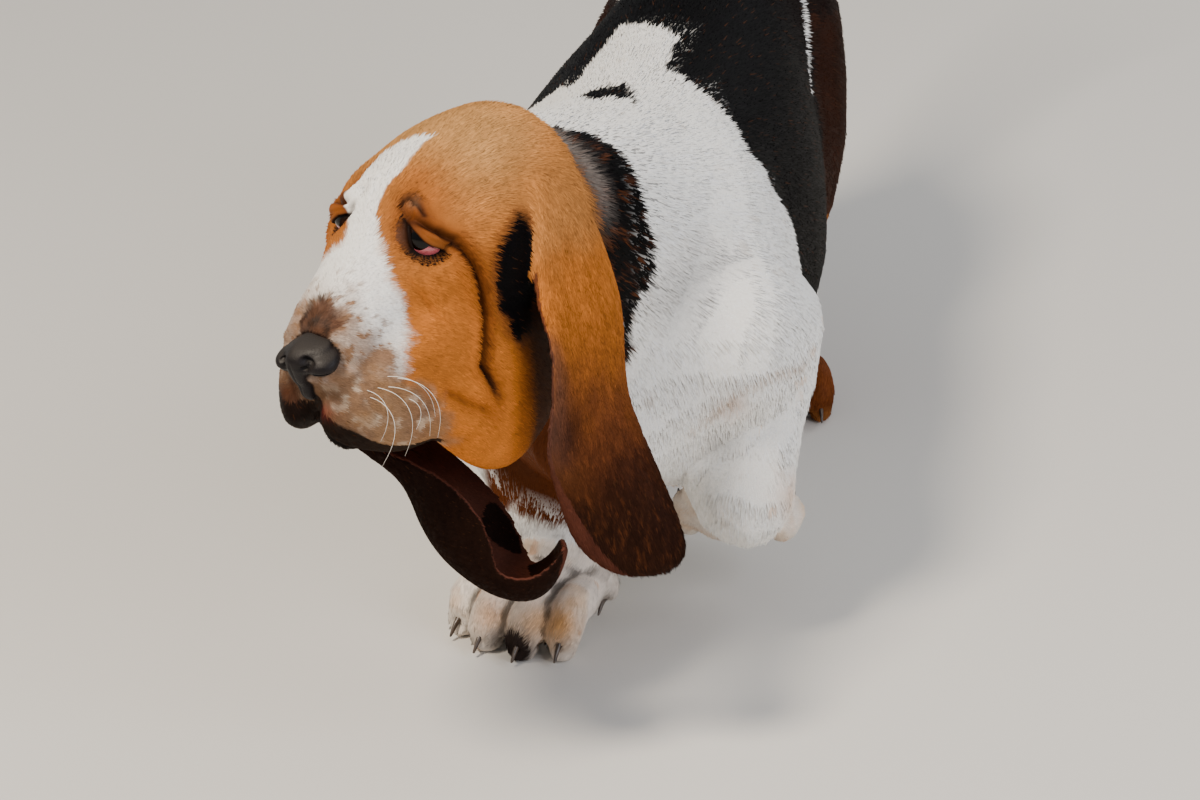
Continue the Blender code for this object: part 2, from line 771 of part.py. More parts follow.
def ear_form(name, stations, steps=2, across_count=9):
    """A thin hanging ear through stations of (front rim, middle, rear rim, lapel).

    Each station is half an ellipse through its three points. The lapel lifts the front rim outwards.
    """
    rows = smooth_rows([(*a, *m, *b, lift) for a, m, b, lift in stations], steps)
    front, middle, rear = rows[:, None, 0:3], rows[:, None, 3:6], rows[:, None, 6:9]
    turn = np.linspace(0, math.pi, across_count)[None, :, None]
    core = (front + rear) / 2
    sheet = core + (front - core) * np.cos(turn) + (middle - core) * np.sin(turn)
    normal = np.cross(np.gradient(sheet, axis=1), np.gradient(sheet, axis=0))
    normal /= np.linalg.norm(normal, axis=2)[..., None]
    normal *= np.sign((normal * (middle - core)).sum(axis=2).mean())
    rise = np.exp(-((turn / 0.75) ** 2)) - 0.5 * np.exp(-(((turn - 1.15) / 0.4) ** 2))
    sheet += normal * rows[:, None, 9:10] * rise
    thick = EAR_THICKNESS / 2 * (1 - 0.45 * np.abs(np.cos(turn)) ** 6)
    outer, inner = sheet + normal * thick, sheet - normal * thick
    rings = np.concatenate([outer, inner[:, ::-1]], axis=1)
    around = rings.shape[1]
    points = np.vstack([rings.reshape(-1, 3), rings[0].mean(axis=0), rings[-1].mean(axis=0)])
    return outwards(new_object(name, points, grid_faces(len(rings), around)))


def left_ear():
    """The near ear swings outwards as it hangs, and its front edge turns out at half length."""
    return ear_form(
        "ear_left",
        (
            ((-0.022, -0.228, 0.386), (-0.012, -0.204, 0.390), (-0.004, -0.168, 0.362), 0.000),
            ((-0.015, -0.240, 0.360), (0.005, -0.218, 0.364), (0.013, -0.178, 0.338), 0.002),
            ((-0.012, -0.250, 0.326), (0.014, -0.229, 0.324), (0.030, -0.195, 0.305), 0.004),
            ((-0.003, -0.262, 0.300), (0.020, -0.236, 0.290), (0.034, -0.205, 0.281), 0.006),
            ((-0.002, -0.262, 0.264), (0.024, -0.241, 0.258), (0.038, -0.215, 0.250), 0.006),
            ((-0.005, -0.258, 0.228), (0.030, -0.246, 0.226), (0.053, -0.222, 0.218), 0.004),
            ((0.003, -0.252, 0.192), (0.039, -0.250, 0.192), (0.069, -0.228, 0.186), 0.002),
            ((0.010, -0.248, 0.166), (0.047, -0.250, 0.166), (0.078, -0.232, 0.163), 0.001),
            ((0.024, -0.246, 0.150), (0.052, -0.249, 0.149), (0.078, -0.235, 0.151), 0.000),
            ((0.042, -0.244, 0.143), (0.054, -0.245, 0.142), (0.066, -0.240, 0.144), 0.000),
        ),
    )


def right_ear():
    """The far ear swings in under the chin as a scoop whose tip turns up."""
    return ear_form(
        "ear_right",
        (
            ((-0.120, -0.188, 0.372), (-0.120, -0.166, 0.376), (-0.107, -0.142, 0.360), 0.0),
            ((-0.138, -0.194, 0.344), (-0.134, -0.166, 0.346), (-0.114, -0.138, 0.336), 0.0),
            ((-0.146, -0.210, 0.310), (-0.144, -0.178, 0.310), (-0.121, -0.146, 0.302), 0.0),
            ((-0.153, -0.240, 0.274), (-0.152, -0.206, 0.272), (-0.130, -0.170, 0.266), 0.0),
            ((-0.126, -0.270, 0.240), (-0.138, -0.240, 0.236), (-0.112, -0.198, 0.230), 0.0),
            ((-0.068, -0.278, 0.220), (-0.096, -0.252, 0.204), (-0.064, -0.212, 0.197), 0.0),
            ((-0.040, -0.284, 0.196), (-0.083, -0.260, 0.177), (-0.034, -0.222, 0.172), 0.0),
            ((-0.032, -0.282, 0.171), (-0.067, -0.260, 0.151), (-0.022, -0.225, 0.146), 0.0),
            ((-0.029, -0.280, 0.154), (-0.038, -0.258, 0.130), (-0.018, -0.230, 0.139), 0.0),
            ((-0.011, -0.275, 0.151), (-0.014, -0.256, 0.126), (-0.010, -0.237, 0.146), 0.0),
            ((0.001, -0.268, 0.159), (0.000, -0.254, 0.141), (-0.002, -0.242, 0.157), 0.0),
            ((0.007, -0.262, 0.168), (0.006, -0.255, 0.163), (0.003, -0.249, 0.167), 0.0),
        ),
    )


# Tail


def tail_form():
    """A thick-rooted tail carried up in a sabre's curve."""
    rows = (
        (0.000, 0.500, 0.318, 0.026, 0.026, 0.026),
        (0.000, 0.535, 0.328, 0.023, 0.023, 0.023),
        (0.001, 0.575, 0.346, 0.019, 0.019, 0.019),
        (0.004, 0.618, 0.380, 0.016, 0.016, 0.016),
        (0.010, 0.650, 0.425, 0.013, 0.013, 0.013),
        (0.017, 0.668, 0.475, 0.010, 0.010, 0.010),
        (0.023, 0.672, 0.520, 0.007, 0.007, 0.007),
        (0.026, 0.670, 0.545, 0.0035, 0.0035, 0.0035),
    )
    return loft(rows, steps=2, around=12)


# Assembly

# Where the neck is parted from the trunk and from the head: a point and the way forward
NECK_BASE = ((0.0, -0.070, 0.290), (-0.14, -0.78, 0.61))
NECK_TOP = ((-0.046, -0.166, 0.350), (-0.35, -0.90, 0.10))


def build_trunk_and_neck():
    whole = fused(
        "torso",
        [trunk_form(), neck_form(), *shoulder_forms(), *pelvis_forms(), *dewlap_forms()],
        BODY_VOXEL,
        BODY_TRIANGLES,
        rounds=10,
    )
    neck = copy_of(whole, "neck")
    base, forward = NECK_BASE
    trimmed(whole, base, forward)
    trimmed(neck, base, -Vector(forward))
    top, onward = NECK_TOP
    trimmed(neck, top, onward)
    largest_only(neck)
    return whole, neck


def build_head():
    """Head, jaw, nose and eyes, made in the head's own frame and then put in place."""
    flesh, lids = [skull_form()], []
    for side, drop in ((1, 0.042), (-1, 0.012)):
        flesh += [lip_form(side), jowl_form(side, drop), *cheek_forms(side)]
        lids.append(lid_form(side))
        lids.append(ball(mirrored(EYE_CENTRE, side), (EYE_RADIUS + LID_THICKNESS,) * 3))
    flesh.append(ball((0, -0.075, -0.125), (0.044, 0.055, 0.040)))
    flesh.append(ball((0, -0.199, -0.086), (0.013, 0.012, 0.018)))
    skull = fused("skull", flesh, HEAD_VOXEL, math.inf, rounds=14)
    head = fused("head", [skull, *lids], HEAD_VOXEL, HEAD_TRIANGLES, rounds=2)
    jaw = fused("lower_jaw", jaw_forms(), JAW_VOXEL, JAW_TRIANGLES, rounds=2)
    nose = fused("nose", nose_forms(), NOSE_VOXEL, NOSE_TRIANGLES, rounds=2)
    eyes = [ball(mirrored(EYE_CENTRE, side), (EYE_RADIUS,) * 3) for side in (1, -1)]
    eyes[0].name, eyes[1].name = "eye_left", "eye_right"
    sockets = [socket_form(side) for side in (1, -1)]
    cut_by(head, sockets, margin=0)
    remove(sockets)
    cut_by(head, [nose, jaw, *eyes])
    for side in (1, -1):
        nostrils = nostril_forms(side)
        cut_by(nose, nostrils, margin=0)
        remove(nostrils)
    for obj in (head, jaw, nose, *eyes):
        placed(obj, head_matrix())
    top, onward = NECK_TOP
    trimmed(head, top, -Vector(onward))
    trimmed(jaw, top, -Vector(onward))
    return head, jaw, nose, eyes


def build_forelegs(torso, neck):
    """The right foreleg stands and the left one is lifted with its wrist bent."""
    right = foreleg_form(-1, *FORELEG_RIGHT)
    left = foreleg_form(1, *FORELEG_LEFT)
    left.append(ball(*BENT_WRIST))
    legs = []
    for name, forms in (("foreleg_right", right), ("foreleg_left", left)):
        leg = fused(name, forms, LEG_VOXEL, LEG_TRIANGLES, rounds=5)
        legs.append(cut_by(leg, [torso, neck]))
    place, turn = FOREPAW_RIGHT
    standing = Matrix.Translation(place) @ Matrix.Rotation(math.radians(turn), 4, "Z")
    paw_right, claws_right = build_paw("forepaw_right", -1, standing, dewclaw=True)
    place, turn = FOREPAW_LEFT
    lifted = Matrix.Translation(place) @ Matrix.Rotation(math.radians(turn), 4, "X")
    paw_left, claws_left = build_paw("forepaw_left", 1, lifted, scale=0.9, dewclaw=True, planted=False)
    wrist, onward = WRIST_RIGHT
    trimmed(legs[0], wrist, onward)
    trimmed(paw_right, wrist, -Vector(onward))
    wrist, onward = WRIST_LEFT
    trimmed(paw_left, wrist, -Vector(onward))
    cut_by(legs[1], [paw_left])
    return [*legs, paw_right, paw_left, *claws_right, *claws_left]


def build_hindlegs(torso):
    """The left hind leg has stepped forward under the body and the right one is left behind."""
    made = []
    for name, side, joints in (("left", 1, HINDLEG_LEFT), ("right", -1, HINDLEG_RIGHT)):
        *points, turn = joints
        foot = points[-1]
        forms = hindleg_form(side, *points)
        thigh = fused("thigh_" + name, forms, LEG_VOXEL, 2 * LEG_TRIANGLES, rounds=5)
        cut_by(thigh, [torso])
        lower = copy_of(thigh, "lower_leg_" + name)
        trimmed(thigh, (0, 0, KNEE_LEVEL), (0, 0, -1))
        trimmed(lower, (0, 0, KNEE_LEVEL), (0, 0, 1))
        largest_only(thigh)
        largest_only(lower)
        under = Matrix.Translation((foot[0], foot[1] - 0.034, 0))
        place = under @ Matrix.Rotation(math.radians(turn), 4, "Z")
        paw, claws = build_paw("hindpaw_" + name, side, place, HINDPAW_SCALE, HINDPAW_HEIGHT)
        trimmed(lower, (0, 0, HINDPAW_HEIGHT), (0, 0, -1))
        trimmed(paw, (0, 0, HINDPAW_HEIGHT), (0, 0, 1))
        made += [thigh, lower, paw, *claws]
    return made


def coat_of(name):
    """The finish that most of a node shows."""
    if "claw" in name:
        return "claw_horn"
    if name.startswith("eye"):
        return "eye"
    if name == "nose":
        return "nose_leather"
    if name in ("head", "lower_jaw"):
        return "tan_coat"
    if name.startswith("ear") or name.startswith("thigh") or name.startswith("lower_leg"):
        return "brown_coat"
    if name == "torso":
        return "black_coat"
    return "white_coat"


def finish(obj):
    """Shades a node smooth, gives it its coat and moves it so that the origin is under the hound."""
    placed(obj, Matrix.Translation((WITHERS_X, WITHERS_Y, 0)))
    slot = coat_of(obj.name)
    material = bpy.data.materials.get(slot) or bpy.data.materials.new(slot)
    colour, roughness = FINISHES[slot]
    material.use_nodes = True
    shader = material.node_tree.nodes["Principled BSDF"]
    shader.inputs["Base Color"].default_value = (*colour, 1)
    shader.inputs["Roughness"].default_value = roughness
    obj.data.materials.clear()
    obj.data.materials.append(material)
    obj.data.shade_smooth()
    obj.data.set_sharp_from_angle(angle=math.radians(40))


def main():
    for obj in list(bpy.data.objects):
        bpy.data.objects.remove(obj)
    torso, neck = build_trunk_and_neck()
    head, jaw, nose, eyes = build_head()
    ears = [left_ear(), right_ear()]
    cut_by(ears[0], [head, neck], solver="MANIFOLD")
    cut_by(head, ears[1:], solver="MANIFOLD")
    tail = tail_form()
    tail.name = "tail"
    cut_by(tail, [torso])
    legs = build_forelegs(torso, neck) + build_hindlegs(torso)
    for obj in (torso, neck, head, jaw, nose, *eyes, *ears, tail, *legs):
        finish(obj)


main()
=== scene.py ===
"""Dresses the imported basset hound: skin over all its flesh, a short coat, eyes, nose, claws and whiskers."""

import json
import math

import bmesh
import bpy
import numpy as np
from mathutils import Matrix, Vector
from mathutils.bvhtree import BVHTree

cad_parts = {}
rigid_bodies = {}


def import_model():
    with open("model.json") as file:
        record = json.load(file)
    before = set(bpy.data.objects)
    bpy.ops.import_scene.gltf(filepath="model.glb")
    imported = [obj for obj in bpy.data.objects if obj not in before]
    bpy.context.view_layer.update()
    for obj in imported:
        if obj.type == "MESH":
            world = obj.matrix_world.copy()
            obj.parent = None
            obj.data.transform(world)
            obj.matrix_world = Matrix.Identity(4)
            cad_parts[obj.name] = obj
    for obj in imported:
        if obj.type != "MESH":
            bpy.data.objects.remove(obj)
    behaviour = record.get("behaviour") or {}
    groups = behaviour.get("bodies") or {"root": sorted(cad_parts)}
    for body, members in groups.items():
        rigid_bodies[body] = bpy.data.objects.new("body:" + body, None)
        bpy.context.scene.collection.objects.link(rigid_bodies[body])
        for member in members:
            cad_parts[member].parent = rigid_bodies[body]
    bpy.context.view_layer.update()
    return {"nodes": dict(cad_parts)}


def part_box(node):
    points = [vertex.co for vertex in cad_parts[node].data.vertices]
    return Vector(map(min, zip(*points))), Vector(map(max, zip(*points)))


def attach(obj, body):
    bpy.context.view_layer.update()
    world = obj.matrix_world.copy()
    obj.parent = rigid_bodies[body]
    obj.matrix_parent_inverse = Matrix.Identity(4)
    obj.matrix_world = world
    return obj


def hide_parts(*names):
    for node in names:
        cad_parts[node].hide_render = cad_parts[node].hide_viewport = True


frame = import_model()
NODES = frame["nodes"]

# The head's own frame starts at the occiput. X is its left, Y runs back from the nose and Z is up.
HEAD_PLACE = (
    Matrix.Translation((-0.0385, -0.3351, 0.431))
    @ Matrix.Rotation(math.radians(-28), 4, "Z")
    @ Matrix.Rotation(math.radians(16), 4, "X")
)
HEAD_TURN = np.array(HEAD_PLACE)[:3, :3]
EYE_CENTRE = (0.0275, -0.1160, -0.0245)
EYE_FRONT = (0.58, -0.80, 0.12)
LID_SLANT = (0.65, 0.36, -0.66)
BALL_RADIUS = 0.0124
LID_RADIUS = 0.0136

# Joints of the flesh, as a point and the way onward into the head or paw
NECK_TOP = ((-0.0355, -0.3291, 0.350), (-0.385, -0.990, 0.110))
WRIST_RIGHT = ((-0.0235, -0.1891, 0.060), (0.148, -0.098, -0.984))
WRIST_LEFT = ((0.0985, -0.2031, 0.093), (0.0, 0.848, -0.530))
HIND_PASTERN = ((0.0, 0.3, 0.050), (0.0, 0.0, -1.0))

FORELEGS = ("foreleg_left", "foreleg_right")
THIGHS = ("thigh_left", "thigh_right")
LOWER_LEGS = ("lower_leg_left", "lower_leg_right")
LIMBS = FORELEGS + THIGHS + LOWER_LEGS
TRUNK = ("torso", "neck", "tail") + LIMBS
HIND_PAWS = ("hindpaw_left", "hindpaw_right")
PAWS = ("forepaw_left", "forepaw_right") + HIND_PAWS
FACE = ("head", "lower_jaw", "nose", "eye_left", "eye_right")
EARS = ("ear_left", "ear_right")
LABELS = TRUNK + PAWS + FACE + EARS
FLESH = [name for name in LABELS if name != "nose" and not name.startswith("eye")]

FINE = 0.0015
COARSE = 0.0032
SKIN_TRIANGLES = 360000
TUFTS = 360000
TUFTS_IN_A_PIECE = 49000

# How far the solids are grown before they are run together, and how finely the nose is
GROWTH = 0.00035
FINE_GROWTH = 0.0003
NOSE_VOXEL = 0.0006

# The head is unrolled at this distance round an axis that runs this far below its own
HEAD_ROUND = 0.055
HEAD_AXIS = 0.06

# Distances from an eye's centre within which the skin is cut finer, smoothed, painted and shaped as lids
FINER_ZONE = 0.0175
SMOOTH_ZONE = 0.019
LID_COLOUR_ZONE = 0.02
LID_ZONE = 0.022

# How deep the skin stays under the nose leather
LEATHER_COVER = 0.0016


# Small tools


def linear(code):
    """An sRGB hex colour as linear red, green, blue and full alpha."""
    parts = [int(code[k : k + 2], 16) / 255 for k in (1, 3, 5)]
    return (*[c / 12.92 if c <= 0.04045 else ((c + 0.055) / 1.055) ** 2.4 for c in parts], 1.0)


def rgb(code):
    return np.array(linear(code)[:3])


def deselect():
    if bpy.context.object and bpy.context.object.mode != "OBJECT":
        bpy.ops.object.mode_set(mode="OBJECT")
    bpy.ops.object.select_all(action="DESELECT")


def pick(obj):
    deselect()
    obj.select_set(True)
    bpy.context.view_layer.objects.active = obj


def use_modifier(obj, kind, **settings):
    """Adds a modifier and applies it."""
    pick(obj)
    modifier = obj.modifiers.new(kind.lower(), kind)
    for key, value in settings.items():
        setattr(modifier, key, value)
    bpy.ops.object.modifier_apply(modifier=modifier.name)
    return obj


def edit(obj, *jobs):
    """Runs these mesh operators in edit mode, each with its settings."""
    pick(obj)
    bpy.ops.object.mode_set(mode="EDIT")
    for operator, settings in jobs:
        operator(**settings)
    bpy.ops.object.mode_set(mode="OBJECT")


SELECT_ALL = (bpy.ops.mesh.select_all, {"action": "SELECT"})
SELECT_NONE = (bpy.ops.mesh.select_all, {"action": "DESELECT"})
FILL = (bpy.ops.mesh.fill_holes, {"sides": 0})
TURN_OUT = (bpy.ops.mesh.normals_make_consistent, {"inside": False})


def node_copy(name, grow=0.0, levels=0):
    """A merged copy of a CAD node, grown a little so that it runs into its neighbours."""
    copy = bpy.data.objects.new("copy", NODES[name].data.copy())
    bpy.context.scene.collection.objects.link(copy)
    copy.data.materials.clear()
    form = bmesh.new()
    form.from_mesh(copy.data)
    bmesh.ops.remove_doubles(form, verts=form.verts, dist=1e-5)
    form.to_mesh(copy.data)
    form.free()
    if levels:
        edit(copy, SELECT_ALL, (bpy.ops.mesh.tris_convert_to_quads, {}))
        use_modifier(copy, "SUBSURF", levels=levels, render_levels=levels)
    if grow:
        use_modifier(copy, "DISPLACE", strength=grow, mid_level=0)
    return copy


def fused(name, pieces, voxel):
    """Joins the pieces and runs them into one closed surface."""
    deselect()
    for piece in pieces:
        piece.select_set(True)
    bpy.context.view_layer.objects.active = pieces[0]
    if len(pieces) > 1:
        bpy.ops.object.join()
    pieces[0].name = name
    return use_modifier(pieces[0], "REMESH", mode="VOXEL", voxel_size=voxel, adaptivity=0)


def read(items, key, width, kind=np.float32):
    """One value of every item, as rows of this width."""
    flat = np.empty(len(items) * width, kind)
    items.foreach_get(key, flat)
    return flat.reshape(-1, width)


def points_of(mesh):
    return read(mesh.vertices, "co", 3).astype(float)


def normals_of(mesh):
    return read(mesh.vertex_normals, "vector", 3).astype(float)


def edges_of(mesh):
    return read(mesh.edges, "vertices", 2, np.int32)


def triangles_of(mesh):
    mesh.calc_loop_triangles()
    return read(mesh.loop_triangles, "vertices", 3, np.int32)


def tree_of(points, triangles):
    return BVHTree.FromPolygons(points.tolist(), triangles.tolist(), all_triangles=True)


def put_points(mesh, points):
    mesh.vertices.foreach_set("co", points.astype(np.float32).ravel())
    mesh.update()


def smoothed(values, edges, weight, rounds):
    """Moves each value towards the mean of its neighbours, by its own weight, this many times."""
    values = values.copy()
    a, b = edges.T
    count = len(values)
    degree = np.bincount(a, minlength=count) + np.bincount(b, minlength=count)
    share = (np.broadcast_to(weight, (count,)) / np.maximum(degree, 1))[:, None]
    keep = (1 - np.broadcast_to(weight, (count,)))[:, None]
    for _ in range(rounds):
        total = np.empty_like(values)
        for k in range(values.shape[1]):
            line = values[:, k]
            total[:, k] = np.bincount(a, line[b], count) + np.bincount(b, line[a], count)
        values = keep * values + share * total
    return values


def bell(*parts):
    """1 where all parts are 0, fading out at about 1 on every side."""
    return np.exp(-sum(part**2 for part in parts))


def unit(v):
    return v / np.maximum(np.linalg.norm(v, axis=-1, keepdims=True), 1e-12)


def step(low, high, value):
    """A soft step from 0 at low to 1 at high."""
    t = np.clip((value - low) / (high - low), 0, 1)
    return t * t * (3 - 2 * t)


def wander(points, size, seed=0, octaves=2):
    """Smooth noise between -1 and 1 with lumps of this size in metres."""
    total, weight, reach = np.zeros(len(points)), 1.0, 0.0
    for octave in range(octaves):
        q = points / (size / 2**octave) + 17.3 * (seed + octave)
        cell = np.floor(q).astype(np.int64)
        f = q - cell
        f = f * f * (3 - 2 * f)
        value = np.zeros(len(points))
        for corner in range(8):
            d = np.array([corner & 1, corner >> 1 & 1, corner >> 2 & 1])
            c = cell + d
            h = (c[:, 0] * 73856093) ^ (c[:, 1] * 19349663) ^ (c[:, 2] * 83492791)
            h = (h ^ (h >> 13)) * 1274126177 & 0xFFFFFFFF
            h = ((h ^ (h >> 16)) & 0xFFFF) / 32767.5 - 1
            value += h * np.prod(np.where(d, f, 1 - f), axis=1)
        total += weight * value
        reach += weight
        weight *= 0.5
    return total / reach


def wander_all_ways(points, size, seed, octaves=2):
    """Such noise as a shift of each point."""
    return np.stack([wander(points, size, seed + k, octaves) for k in range(3)], axis=1)


def place(matrix, points):
    m = np.array(matrix)
    return points @ m[:3, :3].T + m[:3, 3]


def head_local(points):
    """Points in the head's frame as left, towards the nose and up."""
    local = place(HEAD_PLACE.inverted(), points)
    return np.stack([local[:, 0], -local[:, 1], local[:, 2]], axis=1)


def away_from(points, centre):
    return np.linalg.norm(points - np.asarray(centre), axis=1)


def head_world(local):
    """Points in the head's frame, as left, towards the nose and up, back in the frame."""
    return place(HEAD_PLACE, local * (1, -1, 1))


def mirrored(local):
    """Points of the head folded over onto its left side."""
    return np.abs(local) * (1, 1, 0) + local * (0, 0, 1)


def past(points, joint):
    """How far each point is past a joint's plane."""
    point, onward = joint
    return (points - point) @ unit(np.array(onward, float))


def near_line(points, line):
    """Distance to a line of points, and how far along it, from 0 to 1."""
    line = np.array(line, float)
    best = np.full(len(points), 9.0)
    along = np.zeros(len(points))
    for k, (a, b) in enumerate(zip(line, line[1:])):
        ab = b - a
        t = np.clip((points - a) @ ab / (ab @ ab), 0, 1)
        d = np.linalg.norm(points - a - t[:, None] * ab, axis=1)
        closer = d < best
        best[closer] = d[closer]
        along[closer] = (k + t[closer]) / (len(line) - 1)
    return best, along


def near_on_surface(points, normals, line):
    """As near_line, but however deep the line lies under the surface or above it."""
    best, along = near_line(points, line)
    close = np.nonzero(best < 0.022)[0]
    for shift in (-0.009, -0.006, -0.003, 0.003, 0.006, 0.009):
        away, part = near_line(points[close] + shift * normals[close], line)
        closer = away < best[close]
        best[close[closer]] = away[closer]
        along[close[closer]] = part[closer]
    return best, along


def depth_inside(x, y, polygon):
    """How far each flat point is inside a polygon, negative outside."""
    polygon = np.array(polygon, float)
    best = np.full(len(x), 9.0)
    inside = np.zeros(len(x), bool)
    for (ax, ay), (bx, by) in zip(polygon, np.roll(polygon, -1, axis=0)):
        dx, dy = bx - ax, by - ay
        t = np.clip(((x - ax) * dx + (y - ay) * dy) / max(dx * dx + dy * dy, 1e-12), 0, 1)
        best = np.minimum(best, np.hypot(x - ax - t * dx, y - ay - t * dy))
        crosses = (ay > y) != (by > y)
        if dy:
            inside ^= crosses & (x < dx * (y - ay) / dy + ax)
    return np.where(inside, best, -best)


class Labeller:
    """Names the CAD node that each point lies nearest to."""

    def __init__(self, names):
        points, faces, self.owner = [], [], []
        start = 0
        for name in names:
            mesh = NODES[name].data
            points.append(points_of(mesh))
            faces.append(triangles_of(mesh) + start)
            self.owner += [LABELS.index(name)] * len(faces[-1])
            start += len(points[-1])
        self.owner = np.array(self.owner)
        self.tree = tree_of(np.vstack(points), np.vstack(faces))

    def __call__(self, points):
        find = self.tree.find_nearest
        return self.owner[[find(p)[2] for p in points.tolist()]]


def on(label, *names):
    """Which points belong to these nodes."""
    return np.isin(label, [LABELS.index(n) for n in names])


# The skin. A coarse form of the whole hound carries the trunk, a fine one the head and ears, and fine ones
# the paws. Each is smoothed, drawn in by the coat's depth and run together.


def eye_frame(side):
    """An eye's matrix in the head's frame: X along its lids, Y up between them and Z the way it looks."""
    front = Vector((EYE_FRONT[0] * side, *EYE_FRONT[1:])).normalized()
    across = Vector((LID_SLANT[0] * side, *LID_SLANT[1:]))
    across = (across - front * across.dot(front)).normalized()
    up = front.cross(across) * side
    turn = Matrix((across, up, front)).transposed().to_4x4()
    return Matrix.Translation((EYE_CENTRE[0] * side, *EYE_CENTRE[1:])) @ turn


def eye_distance(points):
    """Distance to the nearer eye's centre."""
    centres = [HEAD_PLACE @ Vector((EYE_CENTRE[0] * s, *EYE_CENTRE[1:])) for s in (1, -1)]
    return np.min([away_from(points, c) for c in centres], axis=0)


def shape(obj, label_names, reach, draw_in):
    """Smooths a fused form over its own reach at each point, in metres, keeps its size and draws it in."""
    mesh = obj.data
    points, edges = points_of(mesh), edges_of(mesh)
    label = Labeller(label_names)(points)
    spread = reach(points, label)
    size = float(np.median(np.linalg.norm(points[edges[:, 0]] - points[edges[:, 1]], axis=1)))
    rounds = max(1, math.ceil(2 * (spread.max() / size) ** 2 / 0.75))
    weight = np.clip(2 * (spread / size) ** 2 / rounds, 0, 0.95)
    weight = smoothed(weight[:, None], edges, 0.5, 6)[:, 0]
    first = smoothed(points, edges, weight, rounds)
    points = first + smoothed(points - first, edges, weight, rounds)
    put_points(mesh, points)
    depth = smoothed(draw_in(points, label)[:, None], edges, 0.5, 8)[:, 0]
    put_points(mesh, points - normals_of(mesh) * depth[:, None])


def trunk_reach(points, label):
    reach = 0.0115 - 0.0050 * step(-0.10, -0.16, points[:, 1]) * step(0.30, 0.25, points[:, 2])
    reach[on(label, *THIGHS)] = 0.0055
    reach[on(label, *FORELEGS)] = 0.0036
    reach[on(label, *LOWER_LEGS)] = 0.0045
    reach[on(label, "tail")] = 0.0035
    return reach


def trunk_depth(points, label):
    depth = np.full(len(points), 0.0018)
    depth[on(label, *LIMBS)] = 0.0012
    depth[on(label, "tail")] = 0.0020
    over = past(points, NECK_TOP)
    neck = on(label, "neck", *FACE) & (over > -0.04)
    graded = np.where(over > 0, 0.0008 + 0.0035 * np.clip(over / 0.03, 0, 1), 0.0008 - 0.03 * over)
    depth[neck] = graded[neck]
    head = on(label, "head")
    depth[head] = np.maximum(graded, 0.0008)[head]
    for paw, joint in (
        ("forepaw_right", WRIST_RIGHT),
        ("forepaw_left", WRIST_LEFT),
        ("hindpaw_left", HIND_PASTERN),
        ("hindpaw_right", HIND_PASTERN),
    ):
        mine = on(label, paw)
        depth[mine] = (0.0009 + 0.003 * np.clip(past(points, joint) / 0.02, 0, 1))[mine]
    return depth


def face_reach(points, label):
    local = head_local(points)
    reach = 0.0048 - 0.0028 * step(0.12, 0.17, local[:, 1])
    reach = np.where(on(label, *EARS), 0.0022, reach)
    reach = np.where(on(label, "lower_jaw", "nose"), 0.0016, reach)
    near_eye = eye_distance(points)
    return reach + (0.0009 - reach) * (1 - step(0.014, 0.024, near_eye))


def face_depth(points, label):
    depth = np.full(len(points), 0.0008)
    depth[on(label, "nose")] = 0.0020
    depth[on(label, "lower_jaw")] = 0.0005
    depth[on(label, *EARS)] = 0.0006
    return depth


def paw_reach(_, label):
    return np.where(on(label, "tail"), 0.0030, 0.0021)


def paw_depth(_, label):
    return np.where(on(label, "tail"), 0.0006, 0.0009)


def build_form():
    """The whole skin as one closed fine mesh."""
    whole = fused("whole", [node_copy(n, GROWTH) for n in TRUNK + PAWS + FACE], COARSE)
    shape(whole, TRUNK + PAWS + FACE, trunk_reach, trunk_depth)
    face = [node_copy(n, GROWTH) for n in FACE] + [node_copy(n, FINE_GROWTH, levels=2) for n in EARS]
    face = fused("face", face, FINE)
    shape(face, FACE + EARS, face_reach, face_depth)
    ends = PAWS + ("tail",)
    paws = fused("paws", [node_copy(n, FINE_GROWTH) for n in ends], FINE)
    shape(paws, ends, paw_reach, paw_depth)
    return outer_shell_only(fused("form", [whole, face, paws], FINE))


def outer_shell_only(obj):
    """Drops every loose or sealed scrap of a fused form."""
    points = points_of(obj.data)
    edit(obj, (bpy.ops.mesh.select_mode, {"type": "VERT"}), SELECT_NONE)
    obj.data.vertices[int(points[:, 1].argmax())].select = True
    invert = (bpy.ops.mesh.select_all, {"action": "INVERT"})
    edit(obj, (bpy.ops.mesh.select_linked, {}), invert, (bpy.ops.mesh.delete, {"type": "VERT"}))
    return obj


def thin_out(form, triangles):
    """Leaves fewer faces on the trunk and keeps the head, ears and paws fine."""
    points = points_of(form.data)
    plain = np.clip(past(points, NECK_TOP) / -0.02, 0, 1)
    near_ears = np.zeros(len(points), bool)
    for ear in EARS:
        low, high = (np.array(c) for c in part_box(ear))
        near_ears |= ((points > low - 0.004) & (points < high + 0.004)).all(axis=1)
    plain[near_ears] = 0
    plain[points[:, 2] > 0.46] = 0.2
    low = points[:, 2] < 0.06
    plain[low] = np.minimum(plain[low], 0.4)
    group = form.vertex_groups.new(name="plain")
    for level in np.unique(np.round(plain, 1)):
        if level > 0:
            group.add(np.nonzero(np.round(plain, 1) == level)[0].tolist(), float(level), "REPLACE")
    form.data.calc_loop_triangles()
    share = triangles / len(form.data.loop_triangles)
    settings = {"vertex_group": "plain", "vertex_group_factor": 4.0, "use_collapse_triangulate": True}
    use_modifier(form, "DECIMATE", ratio=share, **settings)


def chart(local):
    """Where a point of the head lies: towards the nose, and round from the top, both in metres."""
    turn = np.arctan2(local[:, 0], local[:, 2] + HEAD_AXIS)
    return local[:, 1], HEAD_ROUND * turn


def charted(points):
    """Measured points of the head, as left, towards the nose and up, on the same chart."""
    points = np.array(points, float)
    u, s = chart(points)
    return np.stack([u, s], axis=1)


